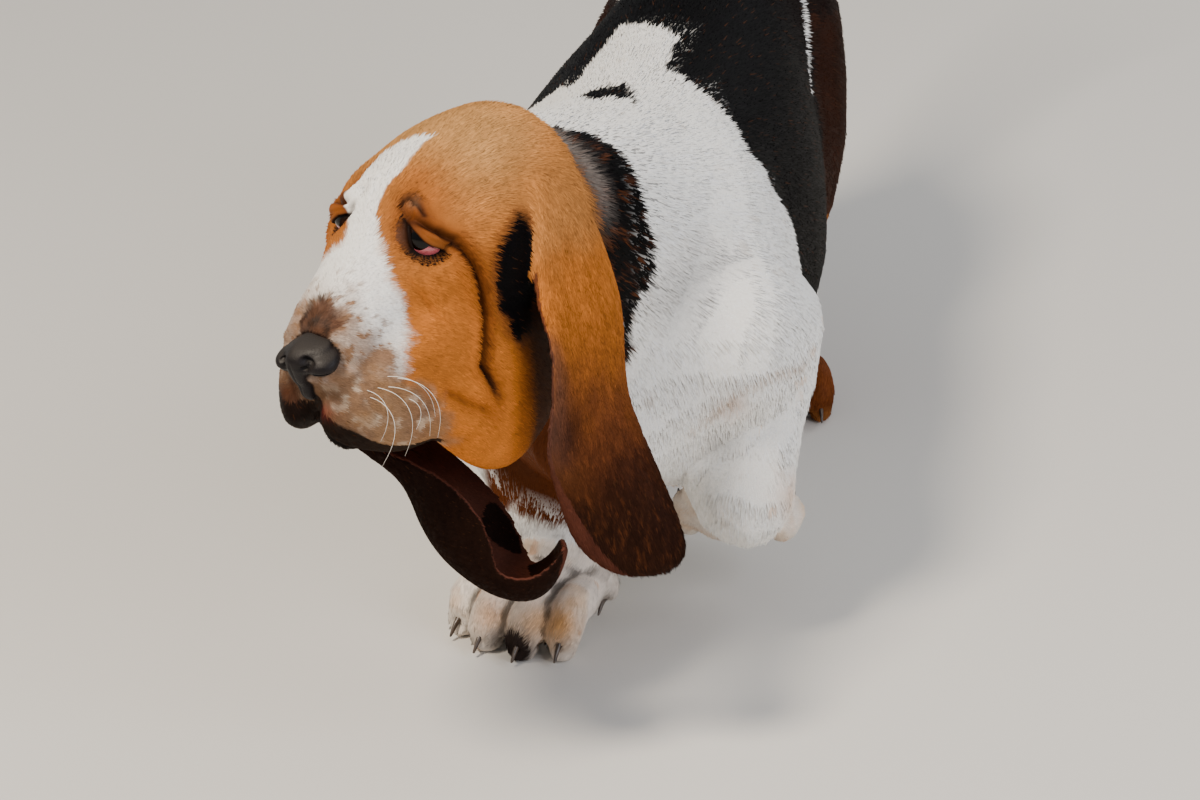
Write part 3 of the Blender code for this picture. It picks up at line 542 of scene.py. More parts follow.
def chart_outline(pairs):
    """Places on the same chart from the way towards the nose and the angle round from the top, in degrees."""
    return [(a, b * HEAD_ROUND * math.pi / 180) for a, b in pairs]


def flat_line(u, s, line):
    flat = np.stack([u, s, np.zeros(len(u))], axis=1)
    line = np.hstack([line, np.zeros((len(line), 1))])
    return near_line(flat, line)


# Folds and markings of the head, measured on its left side

MAIN_FOLD = (
    (0.0244, 0.1224, -0.0098), (0.0316, 0.1206, -0.0119), (0.0382, 0.1176, -0.0164),
    (0.0450, 0.1100, -0.0271), (0.0524, 0.1104, -0.0359), (0.0572, 0.1102, -0.0473),
    (0.0588, 0.1110, -0.0598), (0.0593, 0.1138, -0.0766), (0.0611, 0.1205, -0.0903),
    (0.0609, 0.1275, -0.1045), (0.0618, 0.1247, -0.1178), (0.0624, 0.1230, -0.1266),
)
BROW_KNOT = (
    (0.0145, 0.1185, -0.0063), (0.0142, 0.1146, -0.0046), (0.0170, 0.1113, -0.0046),
    (0.0229, 0.1117, -0.0071), (0.0297, 0.1155, -0.0099),
)
EYE_CREASE = ((0.0300, 0.1440, -0.0350), (0.0365, 0.1420, -0.0480), (0.0430, 0.1400, -0.0680))
JOWL_CREASE = ((0.0560, 0.1560, -0.1090), (0.0580, 0.1450, -0.1230), (0.0600, 0.1300, -0.1380))
BLAZE_NEAR = (
    (0.060, -2), (0.073, -3), (0.088, -1), (0.102, -2), (0.115, -1), (0.127, 3), (0.137, 10),
    (0.144, 22), (0.151, 40), (0.153, 63), (0.156, 84), (0.160, 94), (0.170, 102), (0.176, 113),
    (0.184, 118),
)
BLAZE_FAR = (
    (0.064, -14), (0.069, -21), (0.081, -27), (0.100, -30), (0.118, -31), (0.125, -29),
    (0.136, -19), (0.146, -15), (0.151, -40), (0.153, -63), (0.156, -84), (0.160, -94),
    (0.170, -102), (0.176, -113), (0.184, -118),
)
BLAZE_END = (
    (0.193, 96), (0.2025, 71), (0.195, 40), (0.186, 12), (0.186, -12), (0.195, -40), (0.2025, -71),
    (0.193, -96),
)
NOSE_PATCH = ((0.214, 46), (0.1925, 40), (0.1875, 22), (0.186, 4), (0.188, -14), (0.194, -34), (0.214, -44))
EAR_PATCH = (
    (0.0618, 0.0600, -0.0400), (0.0642, 0.0640, -0.0638), (0.0634, 0.0720, -0.0881),
    (0.0639, 0.0810, -0.1040), (0.0620, 0.0930, -0.1120), (0.0632, 0.1019, -0.0960),
    (0.0614, 0.1025, -0.0802), (0.0605, 0.1010, -0.0600), (0.0605, 0.0970, -0.0459),
    (0.0602, 0.0850, -0.0379), (0.0610, 0.0680, -0.0330),
)
MOUTH_LINE = (
    (0.004, 0.216, -0.081), (0.010, 0.217, -0.088), (0.018, 0.219, -0.092), (0.0275, 0.2146, -0.101),
    (0.033, 0.208, -0.110), (0.0386, 0.199, -0.117), (0.0436, 0.1845, -0.1275), (0.046, 0.168, -0.135),
    (0.048, 0.163, -0.137),
)
FLEWS = (
    (0.052, 0.2025), (0.058, 0.189), (0.078, 0.182), (0.093, 0.168), (0.109, 0.1615), (0.135, 0.158),
)
UPPER_LID = ((-0.86, 0.20), (-0.50, 0.21), (-0.10, 0.14), (0.25, 0.11), (0.60, 0.10), (0.90, 0.0))
LOWER_LID = ((-0.62, -0.08), (-0.42, -0.28), (-0.15, -0.48), (0.25, -0.58), (0.60, -0.50), (0.84, -0.24))
HAW_EDGE = (
    (-0.45, -0.32), (-0.20, -0.44), (-0.02, -0.28), (0.10, -0.08), (0.22, 0.06), (0.32, 0.10), (0.90, 0.01),
)

# Markings of the body: the front edge of the black saddle by the angle round from the top, in degrees

SADDLE_SCALE = 0.0027
SADDLE_EDGE = (
    (-110, -0.100), (-80, -0.108), (-65, -0.107), (-49, -0.130), (-37, -0.137), (-28, -0.102),
    (-16, -0.091), (-11.5, -0.112), (-10.0, -0.060), (-8.9, -0.018), (-7.1, 0.025), (-2.1, 0.017),
    (3.6, 0.011), (7.5, 0.002), (10.2, -0.010), (10.6, -0.040), (11.0, -0.080), (16, -0.091),
    (28, -0.102), (37, -0.137), (49, -0.130), (65, -0.107), (80, -0.108), (110, -0.100),
)
SADDLE_LIMIT = ((104, -0.05), (101, 0.05), (102, 0.15), (112, 0.25), (130, 0.35), (178, 0.40))
CRESCENT = (
    (-0.019, -0.170), (-0.009, -0.147), (0.000, -0.137), (0.008, -0.134), (0.016, -0.147),
    (0.023, -0.178), (0.027, -0.204), (0.014, -0.210), (0.000, -0.199), (-0.014, -0.186),
)
NECK_RIDGE = (
    (-0.024, -0.236, 0.392), (-0.004, -0.234, 0.384), (0.011, -0.217, 0.377), (0.024, -0.206, 0.371),
    (0.040, -0.210, 0.364),
)
NAPE_EDGE = (
    (0.245, -0.299), (0.262, -0.310), (0.279, -0.310), (0.291, -0.297), (0.303, -0.289), (0.317, -0.289),
    (0.336, -0.291), (0.352, -0.286), (0.365, -0.280), (0.377, -0.280), (0.391, -0.296), (0.409, -0.335),
)
THIGH_STRIPE = ((0, 0.262, 0.348), (0, 0.236, 0.322), (0, 0.207, 0.297), (0, 0.172, 0.274), (0, 0.140, 0.257))
ARM_FOLD = (
    (0.1481, -0.1843, 0.2042), (0.1428, -0.2062, 0.2014), (0.1346, -0.2378, 0.2079),
    (0.1236, -0.2545, 0.2091), (0.1141, -0.2606, 0.2041), (0.1023, -0.2643, 0.1957),
    (0.0930, -0.2617, 0.1874), (0.0856, -0.2594, 0.1815), (0.0792, -0.2600, 0.1763),
    (0.0733, -0.2641, 0.1727),
)


def eye_coordinates(points, side):
    """Points in an eye's frame: along its lids, up and out along its gaze, with their distance."""
    local = place((HEAD_PLACE @ eye_frame(side)).inverted(), points)
    distance = np.linalg.norm(local, axis=1)
    return local / np.maximum(distance, 1e-9)[:, None], distance


def upper_lid(side):
    """The upper lid's edge, which hangs lower on the right eye."""
    return np.array(UPPER_LID) - (0, 0.32 if side < 0 else 0)


def lid_distance(direction, side):
    """Distance outside the opening between the lids, negative inside it."""
    reach = np.linalg.norm(direction[:, :2], axis=1)
    stretch = np.where(direction[:, 2] > 0, reach, 2 - reach) / np.maximum(reach, 1e-6)
    flat = direction[:, :2] * stretch[:, None] * LID_RADIUS
    outline = np.vstack([upper_lid(side), LOWER_LID[::-1]]) * LID_RADIUS
    return -depth_inside(flat[:, 0], flat[:, 1], outline)


def carve_lids(points):
    """Opens both pairs of lids over the eyeballs, with a rounded rim, and swells the lids."""
    for side in (1, -1):
        direction, distance = eye_coordinates(points, side)
        near = np.nonzero((distance < LID_ZONE) & (direction[:, 2] > -0.6))[0]
        d, r = direction[near], distance[near]
        away = lid_distance(d, side)
        upper = d[:, 1] > np.interp(d[:, 0], *upper_lid(side).T)
        lid = LID_RADIUS + np.where(upper, 0.0007, 0.0001) + 0.0005 * bell((away - 0.0016) / 0.0012)
        inner = BALL_RADIUS - 0.0014
        rim = inner + (lid - inner) * np.sqrt(step(-0.0003, 0.0011, away))
        fade = step(0.0032, 0.0075, away)
        target = np.where(away < 0.0011, rim, lid + (r - lid) * fade)
        target = np.where((away > 0.0011) & (r > target), r + (target - r) * (1 - fade), target)
        centre = np.array(HEAD_PLACE @ eye_frame(side) @ Vector((0, 0, 0)))
        points[near] = centre + (points[near] - centre) * (target / r)[:, None]
    return points


def sculpt(points, normals, label):
    """Presses the folds of loose skin into the form, in metres along the normals."""
    rise = np.zeros(len(points))
    head = on(label, "head")
    local = head_local(points[head])
    u, s = chart(mirrored(local))
    lift = np.zeros(head.sum())
    for line, depth, width, roll in (
        (MAIN_FOLD, 0.0036, 0.0019, 0.0017),
        (BROW_KNOT, 0.0021, 0.0014, 0.0012),
        (EYE_CREASE, 0.0010, 0.0018, 0.0005),
        (JOWL_CREASE, 0.0016, 0.0022, 0.0009),
    ):
        away, along = flat_line(u, s, charted(line))
        fade = step(-0.08, 0.10, along) * (1 - 0.6 * step(0.85, 1.0, along))
        lift += fade * roll * bell((away - 2.6 * width) / (1.6 * width))
        lift -= fade * depth * bell(away / width)
    rise[head] += lift
    trunk = on(label, "torso", "neck", "foreleg_left")
    p = points[trunk]
    away, along = near_line(p, NECK_RIDGE)
    ends = np.sin(np.pi * np.clip(along, 0.02, 0.98)) ** 0.5
    lift = 0.0045 * ends * bell(away / 0.008)
    behind, _ = near_line(p, np.array(NECK_RIDGE) + (0.002, 0.016, -0.003))
    lift -= 0.0035 * ends * bell(behind / 0.007)
    away, along = near_on_surface(p, normals[trunk], ARM_FOLD)
    ends = np.sin(np.pi * np.clip(along, 0.02, 0.98)) ** 0.5
    lift -= 0.0042 * ends * bell(away / 0.0036)
    side, _ = near_on_surface(p, normals[trunk], np.array(ARM_FOLD) + (0.0, -0.001, 0.013))
    lift += 0.0018 * ends * bell(side / 0.008)
    lift += 0.0006 * wander(p, 0.05, 4) * (p[:, 1] < 0.1)
    rise[trunk] += lift
    legs = on(label, "foreleg_right")
    p = points[legs]
    level = p[:, 2] + 0.25 * p[:, 0] + 0.003 * wander(p, 0.03, 6)
    ring = np.cos((level - 0.070) / 0.0115 * 2 * np.pi)
    rise[legs] += 0.0009 * ring * step(0.058, 0.066, p[:, 2]) * (1 - step(0.094, 0.108, p[:, 2]))
    points = points + normals * rise[:, None]
    points[:, 2] = np.maximum(points[:, 2], 0.0004)
    return points


# Colours of the coat

WHITE = rgb("#F7F5F0")
BLACK = rgb("#070507")
BROWN_BLACK = rgb("#1E0F09")
DARK_BROWN = rgb("#3E2012")
BROWN = rgb("#6E3D1F")
RED_BROWN = rgb("#7C4220")
TAN = rgb("#B5773E")
PALE_TAN = rgb("#BA8953")
ORANGE = rgb("#B56A2A")
BRIGHT_ORANGE = rgb("#C9752C")
DEEP_ORANGE = rgb("#8E4D1E")
ROAN = rgb("#8A6B54")
GREY_BROWN = rgb("#8A6A50")
CREAM = rgb("#E6D9C2")
LIP_BLACK = rgb("#17100E")
GREY = rgb("#7D736C")

# The share of red, green and blue in how light a colour is
LIGHTNESS = np.array((0.3, 0.6, 0.1))


def mix(colour, other, share):
    """One colour or row of colours moved towards another by a share for each point."""
    colour, other = (rgb(c) if isinstance(c, str) else np.asarray(c) for c in (colour, other))
    share = np.clip(np.asarray(share, float), 0, 1)[..., None]
    return colour * (1 - share) + other * share


def layers(colour, *coats):
    """A colour with further ones over it, each with its share for each point."""
    for other, share in coats:
        colour = mix(colour, other, share)
    return colour


# The dewlap's red-brown, also used as painted shade below the right jowl
THROAT_AND_SHADE_BROWN = mix(DARK_BROWN, RED_BROWN, 0.5)

# Tan and dark marks on the toes of the right forepaw, as a place, a size, a colour and a share
TOE_MARKS = (
    ((-0.0114, -0.2708, 0.0300), 0.0170, "#C08A4E", 0.95),
    ((-0.0264, -0.2698, 0.0302), 0.0130, "#D0A274", 0.80),
    ((-0.0600, -0.2640, 0.0300), 0.0140, "#CFA077", 0.75),
    ((-0.0440, -0.2785, 0.0110), 0.0135, "#2E2522", 2.6),
    ((-0.0800, -0.2600, 0.0070), 0.0090, "#4A3E36", 0.80),
    ((0.0110, -0.2200, 0.0200), 0.0090, "#3F3631", 0.85),
)


def jagged(points, seed=0, amount=1.0):
    """The points shifted a little, so that a marking's edge breaks up as hairs do."""
    shift = wander_all_ways(points, 0.014, seed) * 0.0022
    shift += wander_all_ways(points, 0.0035, seed + 5, 1) * 0.0012
    return points + amount * shift


def nape_colours(points, y, z):
    """Black flecked with brown, which greys and then turns tan towards the head."""
    fleck = 0.55 * step(0.15, 0.8, wander(points * (1.0, 0.4, 1.0), 0.0035, 41, 1))
    fleck *= 0.35 + 0.65 * step(-0.285, -0.310, y)
    over = past(points, NECK_TOP)
    grizzle = bell((over + 0.020) / 0.010) * step(0.33, 0.37, z)
    return layers(BLACK, (BROWN, fleck), (GREY, 0.75 * grizzle), (TAN, step(-0.016, -0.002, over)))


def trunk_colours(points, label, normals):
    x, y, z = jagged(points).T
    torso, rear, front = on(label, "torso"), on(label, *THIGHS), on(label, *FORELEGS)
    turn = np.degrees(np.arctan2(x - 0.022 * step(0.0, 0.35, y), z - 0.20))
    outline = SADDLE_EDGE + SADDLE_LIMIT + tuple((-a, b) for a, b in SADDLE_LIMIT[::-1])
    outline = [(SADDLE_SCALE * a, b) for a, b in outline]
    saddle = step(-0.0010, 0.0010, depth_inside(SADDLE_SCALE * turn, y, outline))
    black = layers(
        BLACK,
        (BROWN_BLACK, step(0.10, 0.32, y) * 0.9),
        (RED_BROWN, 0.4 * step(82, 100, np.abs(turn)) * step(0.0, 0.1, y)),
    )
    crescent = step(-0.0008, 0.0010, depth_inside(x, y, CRESCENT)) * (z > 0.33)
    neck = on(label, "neck", "torso", "head") & (y < -0.24)
    nape = step(-0.0012, 0.0012, np.interp(z, *np.array(NAPE_EDGE).T) - y) * step(0.236, 0.242, z)
    thigh = layers(
        BROWN_BLACK,
        (RED_BROWN, step(0.185, 0.120, z) * 0.8),
        (DARK_BROWN, 0.35 + 0.35 * wander(points, 0.02, 44)),
        (CREAM, step(0.040, 0.026, np.abs(x - 0.02)) * step(0.26, 0.22, z)),
    )
    away, along = near_line(np.stack([0 * x, y, z], axis=1), THIGH_STRIPE)
    stripe = step(-0.0006, 0.0010, 0.0020 + 0.0012 * along - away)
    middle = np.interp(y, (0.33, 0.40, 0.50), (0.32, 0.34, 0.45))
    under = step(0.0, -0.01, z - middle)
    tail = layers(BROWN_BLACK, (RED_BROWN, under), (WHITE, step(0.455, 0.475, z)))
    spots = step(0.42, 0.62, wander(points, 0.013, 51, 2)) * 0.45
    wrist = bell(away_from(points, (0.140, -0.232, 0.118)) / 0.016)
    fold, along = near_on_surface(points, normals, ARM_FOLD)
    return layers(
        WHITE,
        ("#B7A38E", step(0.50, 0.66, wander(points, 0.011, 31, 2)) * 0.30),
        (black, saddle * torso),
        (BLACK, crescent * torso),
        (nape_colours(points, y, z), nape * neck),
        (thigh, rear),
        (hind_colour(points), on(label, *LOWER_LEGS)),
        (WHITE, stripe * (np.abs(x - 0.01) > 0.035) * (torso | rear)),
        (tail, on(label, "tail")),
        ("#D9A878", spots * front),
        # Tan-brown in the left armpit, partly the coat's tan and partly painted shade
        ("#B8743A", 0.8 * bell(away_from(points, (0.101, -0.262, 0.188)) / 0.010)),
        ("#D3A06E", 0.55 * wrist * front),
        # Painted shade along the fold between the left foreleg and the chest
        ("#B9A08A", (0.65 * bell(fold / 0.0028)) * step(0.0, 0.15, along)),
        # The dewlap's red-brown under the right jowl, painted shade where it runs onto the chest and foreleg
        (THROAT_AND_SHADE_BROWN, throat_and_shade(points)),
    )


def throat_and_shade(points):
    """The dark red-brown under the right jowl: the dewlap folds' own colour, and painted shade where it runs
    onto the chest and the right foreleg and forepaw.
    """
    x, y, z = points.T
    height = z + 0.004 * wander(points, 0.01, 52)
    band = step(0.070, 0.078, height) * step(0.240, 0.225, height)
    return band * step(0.030, 0.012, x) * step(-0.084, -0.072, x) * step(-0.14, -0.17, y)


def hind_colour(points):
    """Tan on the hocks, going over to red-brown on the hind paws."""
    tan = mix(RED_BROWN, TAN, 0.4 + 0.4 * wander(points, 0.03, 45))
    brown = layers(
        DARK_BROWN,
        (RED_BROWN, 0.7 + 0.3 * wander(points, 0.03, 46)),
        (TAN, 0.4 * step(0.016, 0.006, points[:, 2])),
    )
    return mix(tan, brown, step(0.100, 0.040, points[:, 2] + 0.01 * wander(points, 0.02, 47)))


def paw_colours(points, label, _):
    right = on(label, "forepaw_right")
    toe_marks = [(code, s * bell(away_from(points, at) / size) * right) for at, size, code, s in TOE_MARKS]
    return layers(
        WHITE,
        ("#DDB78F", 0.35 + 0.4 * step(0.0, 0.6, wander(points, 0.016, 61, 2))),
        ("#C98A50", step(0.42, 0.62, wander(points, 0.010, 62, 2)) * 0.5),
        (hind_colour(points), on(label, *HIND_PAWS)),
        *toe_marks,
        # Painted shade under the right jowl, carried onto the right forepaw
        (THROAT_AND_SHADE_BROWN, throat_and_shade(points) * right),
    )


def with_mouth(colour, local):
    """The black edge of the lips and the gum in front, over the colours of the face."""
    x, u, w = local.T
    front = step(0.188, 0.203, u)
    opening = np.interp(np.abs(x), *np.array(MOUTH_LINE).T[[0, 2]]) - w
    opening -= 0.0062 * step(0.214, 0.196, u)
    opening = np.where(x > 0.0, opening, (-0.090 - w) * front - 0.0030 * (1 - front))
    inside_lip = step(-0.0006, 0.0012, opening) * (u > 0.160)
    gum = bell(away_from(local, (0.014, 0.214, -0.0905)) / 0.0045)
    return layers(colour, (LIP_BLACK, inside_lip * 0.95), ("#7A2420", 0.7 * gum))


def with_lids(colour, points):
    """The dark rims of the lids and the darker ground below them, over the colours of the face."""
    for side in (1, -1):
        direction, distance = eye_coordinates(points, side)
        away = np.where(distance < LID_COLOUR_ZONE, lid_distance(direction, side), LID_COLOUR_ZONE)
        outside = np.maximum(away, 0)
        inward = direction[:, 0]
        below = direction[:, 1] < np.interp(inward, *upper_lid(side).T)
        dark_under_eye = bell(outside / (0.0085 - 0.0052 * step(0.0, 0.7, inward))) * below
        dark_under_eye *= 0.75 + 0.35 * wander(points, 0.004, 89, 1)
        reach = np.where(below, 0.0030 - 0.0012 * step(0.0, 0.3, inward), 0.0013)
        colour = layers(
            colour,
            (mix("#5A504C", LIP_BLACK, step(0.006, 0.001, away)), dark_under_eye),
            (DARK_BROWN, 0.75 * bell(outside / (2.2 * reach))),
            (LIP_BLACK, 0.97 * np.exp(-((outside / reach) ** 4))),
        )
    return colour


def muzzle_colours(points, u):
    """White that goes over to roan towards the nose."""
    roan = step(0.148, 0.20, u) * (0.30 + 0.55 * wander(points, 0.0095, 81, 3))
    roan += 0.60 * step(0.155, 0.180, u) * step(0.05, 0.75, wander(points, 0.012, 82, 2))
    roan += 0.55 * step(0.150, 0.170, u) * step(0.25, 0.70, wander(points, 0.0028, 86, 1))
    roan += 0.45 * step(0.170, 0.186, u)
    return mix(WHITE, ROAN, roan)


def face_colours(points, label, _):
    left, u, w = head_local(jagged(points, 3, 0.8)).T
    around = HEAD_ROUND * np.radians(np.degrees(np.arctan2(left, w + HEAD_AXIS)))
    cu, cs = chart(np.stack([np.abs(left), u, w], axis=1))
    plain = head_local(points)
    flat = chart(mirrored(plain))
    colour = layers(
        TAN,
        (PALE_TAN, step(-0.03, 0.0, w) * step(0.11, 0.05, u)),
        (ORANGE, step(-0.01, -0.05, w) * step(0.05, 0.09, u)),
        (BRIGHT_ORANGE, step(-0.085, -0.125, w) * step(0.06, 0.10, u)),
        (DEEP_ORANGE, 0.75 * bell((cu - 0.118) / 0.020, (cs - 0.028) / 0.018)),
        (DEEP_ORANGE, 0.55 * bell((cu - 0.098) / 0.016, (cs - 0.012) / 0.014)),
    )
    patchy = wander(points, 0.018, 71, 3)
    streak = wander(np.stack([left, 0.3 * u, w], axis=1), 0.0045, 72, 2)
    colour = colour * (1 + 0.18 * patchy + 0.15 * streak)[:, None]
    fold, along = flat_line(*flat, charted(MAIN_FOLD))
    knot, _ = flat_line(*flat, charted(BROW_KNOT))
    jowl, _ = flat_line(*flat, charted(JOWL_CREASE))
    patch = depth_inside(cu, cs, charted(EAR_PATCH))
    ragged = patch + 0.0030 * wander(points * (1.0, 1.0, 0.45), 0.0035, 73, 1)
    # Painted shade: near-black brown in the hollow between the jowl and the ear.
    behind = step(0.094, 0.078, u + 0.10 * (w + 0.09)) * step(-0.085, -0.100, w)
    blaze = depth_inside(u, around, chart_outline(BLAZE_NEAR + BLAZE_END + BLAZE_FAR[::-1]))
    soft = 0.0010 + 0.0035 * step(0.125, 0.150, u)
    fray = 0.0022 * step(0.125, 0.150, u) * wander(points, 0.0028, 85, 1)
    muzzle = muzzle_colours(points, u)
    border = np.interp(-w, *np.array(FLEWS).T)
    loose = 0.006 * wander(points, 0.008, 90, 2)
    flews = step(-0.008, 0.008, u - border + loose) * step(-0.062, -0.080, w)
    lip = layers(
        GREY_BROWN,
        ("#C4AE96", step(0.05, 0.6, wander(points, 0.006, 83, 2))),
        ("#5F483A", 0.55 * step(0.1, 0.7, wander(points, 0.008, 88, 2))),
        ("#A57B50", 0.5 * step(-0.2, 0.5, wander(points, 0.019, 84, 2))),
        # Darker brown at the front of the lips, and painted shade on the far, right side of the muzzle
        (DARK_BROWN, 0.5 * step(0.205, 0.216, u) + 0.55 * step(0.0, -0.012, left)),
    )
    colour = layers(
        colour,
        (DEEP_ORANGE, 0.62 * bell(np.hypot(cu - 0.124, cs - 0.028) / 0.024)),
        # Painted shade in the creases: darker orange, brown and brown-black along the main fold and the brow
        # knot
        (DEEP_ORANGE, 0.8 * bell(fold / 0.0070)),
        (DARK_BROWN, 0.85 * bell(fold / (0.0040 - 0.0014 * along))),
        (BROWN_BLACK, 0.65 * bell(fold / 0.0013) * step(0.0, 0.1, along)),
        (DARK_BROWN, 0.9 * bell(knot / 0.0032)),
        (BROWN_BLACK, 0.5 * bell(knot / 0.0013)),
        (ROAN, 0.5 * bell((cu - 0.1135) / 0.0035, (cs - 0.0195) / 0.004)),
        # Painted shade along the jowl crease
        (DEEP_ORANGE, 0.6 * bell(jowl / 0.0030)),
        (BROWN, 0.7 * step(-0.0090, 0.0, patch)),
        (BLACK, step(-0.0025, 0.0025, ragged)),
        # Painted shade between the jowl and the ear
        (BROWN_BLACK, 0.85 * behind),
        (muzzle, step(-1, 1, (blaze + fray) / soft) * (w > -0.105)),
        (mix(muzzle, GREY_BROWN, 0.5), step(0.180, 0.188, u) * (w < -0.02)),
        (lip, flews * 0.92),
    )
    colour = with_mouth(colour, plain)
    above_nose = depth_inside(u, around, chart_outline(NOSE_PATCH))
    above_nose = above_nose + 0.0020 * wander(points, 0.0030, 87, 1)
    dusk = mix("#54382A", "#241A17", step(-0.3, 0.5, wander(points, 0.007, 97, 2)))
    colour = mix(colour, dusk, 0.92 * step(-0.0075, 0.0, above_nose) * (w > -0.075))
    chin = mix(LIP_BLACK, "#8C6B50", step(0.188, 0.165, u) * 0.8)
    return layers(
        with_lids(colour, points),
        (mix(chin, BROWN, step(0.15, 0.12, u)), on(label, "lower_jaw")),
        (LIP_BLACK, step(0.0016, 0.0004, leather_away(points))),
    )


def ear_colours(points, label, normals):
    z = points[:, 2] + 0.010 * wander(points, 0.03, 91) + 0.004 * wander(points, 0.006, 92, 1)
    left = on(label, "ear_left")
    top = np.where(left, 0.300, 0.330)
    tip = np.where(left, 0.205, 0.225)
    streak = wander(points * (1.0, 1.0, 0.16), 0.0028, 93, 1)
    broad = wander(points * (1.0, 1.0, 0.5), 0.016, 95, 2)
    fine = wander(points * (1.0, 1.0, 0.2), 0.0012, 96, 1)
    middle = layers(
        BROWN,
        (ORANGE, step(0.0, 0.9, broad) * 0.45),
        (DARK_BROWN, 0.45 * step(0.2, -0.8, broad) + 0.8 * step(top - 0.02, tip, z)),
    )
    # Painted shade in part: the far, right ear takes a darker copy of the tip colour, and brown-black over its
    # lower part
    dark = np.where(left[:, None], BROWN_BLACK * 1.3, BROWN_BLACK * 0.8)
    colour = layers(
        TAN,
        (ORANGE, step(0.37, 0.33, z)),
        (middle, step(top + 0.030, top - 0.060, z)),
        (dark, step(tip + 0.030, tip - 0.030, z) * np.where(left, 0.9, 1.0)),
        (BROWN_BLACK, ~left * step(0.300, 0.250, z)),
    )
    colour = colour * (1 + 0.16 * streak + 0.20 * fine)[:, None]
    outward = np.where(left[:, None], np.array((0.75, 0.1, 0.1)), np.array((-0.55, -0.45, -0.65)))
    inner = (normals * outward).sum(axis=1) < -0.1
    lapel = bell((points[:, 1] + 0.4300) / 0.0065) * step(0.33, 0.30, z) * step(0.20, 0.23, z) * left
    return layers(
        colour,
        (BROWN, 0.30 * step(0.2, 0.9, fine) * step(0.33, 0.25, z) * left),
        (mix("#43231A", "#6A3D30", 0.5 + 0.5 * wander(points, 0.02, 94)), inner * 0.85),
        ("#5A4038", 0.6 * lapel),
    )


def painted(points, label, normals):
    """The coat's colour at each point."""
    colour = np.empty((len(points), 3))
    parts = ((TRUNK, trunk_colours), (PAWS, paw_colours), (FACE, face_colours), (EARS, ear_colours))
    for names, colours in parts:
        mine = on(label, *names)
        colour[mine] = colours(points[mine], label[mine], normals[mine])
    return np.clip(colour, 0.001, 0.95)


# The lie and length of the coat


STEADY_LIES = {
    "neck": (0.10, 0.75, -0.65),
    "foreleg_right": (0.05, 0.12, -1.0),
    "thigh_left": (0.1, 0.40, -0.9),
    "thigh_right": (-0.1, 0.40, -0.9),
    "lower_leg_left": (0.0, 0.25, -1.0),
    "lower_leg_right": (0.0, 0.05, -1.0),
    "forepaw_right": (-0.33, -0.95, -0.45),
    "forepaw_left": (0.0, 0.85, -0.53),
    "hindpaw_left": (0.10, -0.99, -0.45),
    "hindpaw_right": (-0.10, -0.99, -0.45),
}


def lie_of(points, label, normals):
    """The way the hairs point, before it is laid flat on the skin."""
    x, y, z = points.T
    turn = np.arctan2(x - 0.01, z - 0.20)
    lie = np.stack([0 * x, 1 + 0 * y, -0.15 - 0.55 * np.abs(np.sin(turn))], axis=1)
    lie = mix(lie, (0.0, 0.25, -1.0), step(-0.10, -0.28, y) * step(0.30, 0.20, z))
    for name, way in STEADY_LIES.items():
        lie[on(label, name)] = way
    arm = on(label, "foreleg_left")
    lie[arm] = mix((0.0, 0.05, -1.0), (0.0, -0.5, -0.8), step(0.16, 0.12, z))[arm]
    tail = on(label, "tail")
    rise = step(0.33, 0.50, z)
    lie[tail] = np.stack([0.05 * rise, 1.0 - 0.95 * rise, 0.35 + 0.65 * rise], axis=1)[tail]
    local = head_local(points)
    left, u, w = local.T
    side = np.sign(left)
    down = step(0.0, -0.06, w)
    way = np.stack([0.30 * side * step(0.02, -0.02, w), 1.0 - 0.45 * down, -0.10 - 0.75 * down], axis=1)
    on_muzzle = np.stack([0.35 * side, 0.9 + 0 * u, -0.15 - 0.75 * down], axis=1)
    way = mix(way, on_muzzle, step(0.135, 0.165, u))
    turned = way @ HEAD_TURN.T
    face = on(label, *FACE)
    lie[face] = turned[face]
    ear = on(label, "ear_left")
    hang = step(0.26, 0.18, z)
    lie[ear] = np.stack([0.15 + 0.25 * hang, -0.10 + 0.05 * hang, -1.0 + 0 * z], axis=1)[ear]
    ear = on(label, "ear_right")
    swing = step(0.27, 0.20, z)
    down = -1.0 + 0.6 * swing + 0.7 * step(-0.02, 0.01, x)
    lie[ear] = np.stack([-0.1 + 1.0 * swing, -0.2 + 0.1 * swing, down], axis=1)[ear]
    return flat_on(unit(lie) + 0.12 * wander_all_ways(points, 0.03, 101), normals)


def flat_on(way, normals):
    return unit(way - (way * normals).sum(axis=1)[:, None] * normals)


def coat_length(points, label):
    """The length of the hairs in metres."""
    length = np.full(len(points), 0.0095)
    length[on(label, "neck")] = 0.0100
    length[on(label, *LIMBS)] = 0.0072
    tail = on(label, "tail")
    length[tail] = (0.0095 - 0.0045 * step(0.50, 0.54, points[:, 2]))[tail]
    length[on(label, *PAWS)] = 0.0044
    length[on(label, *EARS)] = 0.0046
    face = on(label, *FACE)
    local = head_local(points)
    on_face = 0.0056 - 0.0024 * step(0.10, 0.16, local[:, 1])
    on_face = on_face * (0.22 + 0.78 * step(0.0155, 0.026, eye_distance(points)))
    for side in (1, -1):
        direction, distance = eye_coordinates(points, side)
        on_lid = step(0.0085, 0.0130, lid_distance(direction, side))
        on_face = on_face * np.where(distance < LID_COLOUR_ZONE, on_lid, 1)
    length[face] = on_face[face]
    # Shorter hair where the dewlap's red-brown and its painted shade lie under the right jowl
    length *= 1 - 0.6 * throat_and_shade(points)
    return length * step(0.0004, 0.0030, leather_away(points))


# Pieces


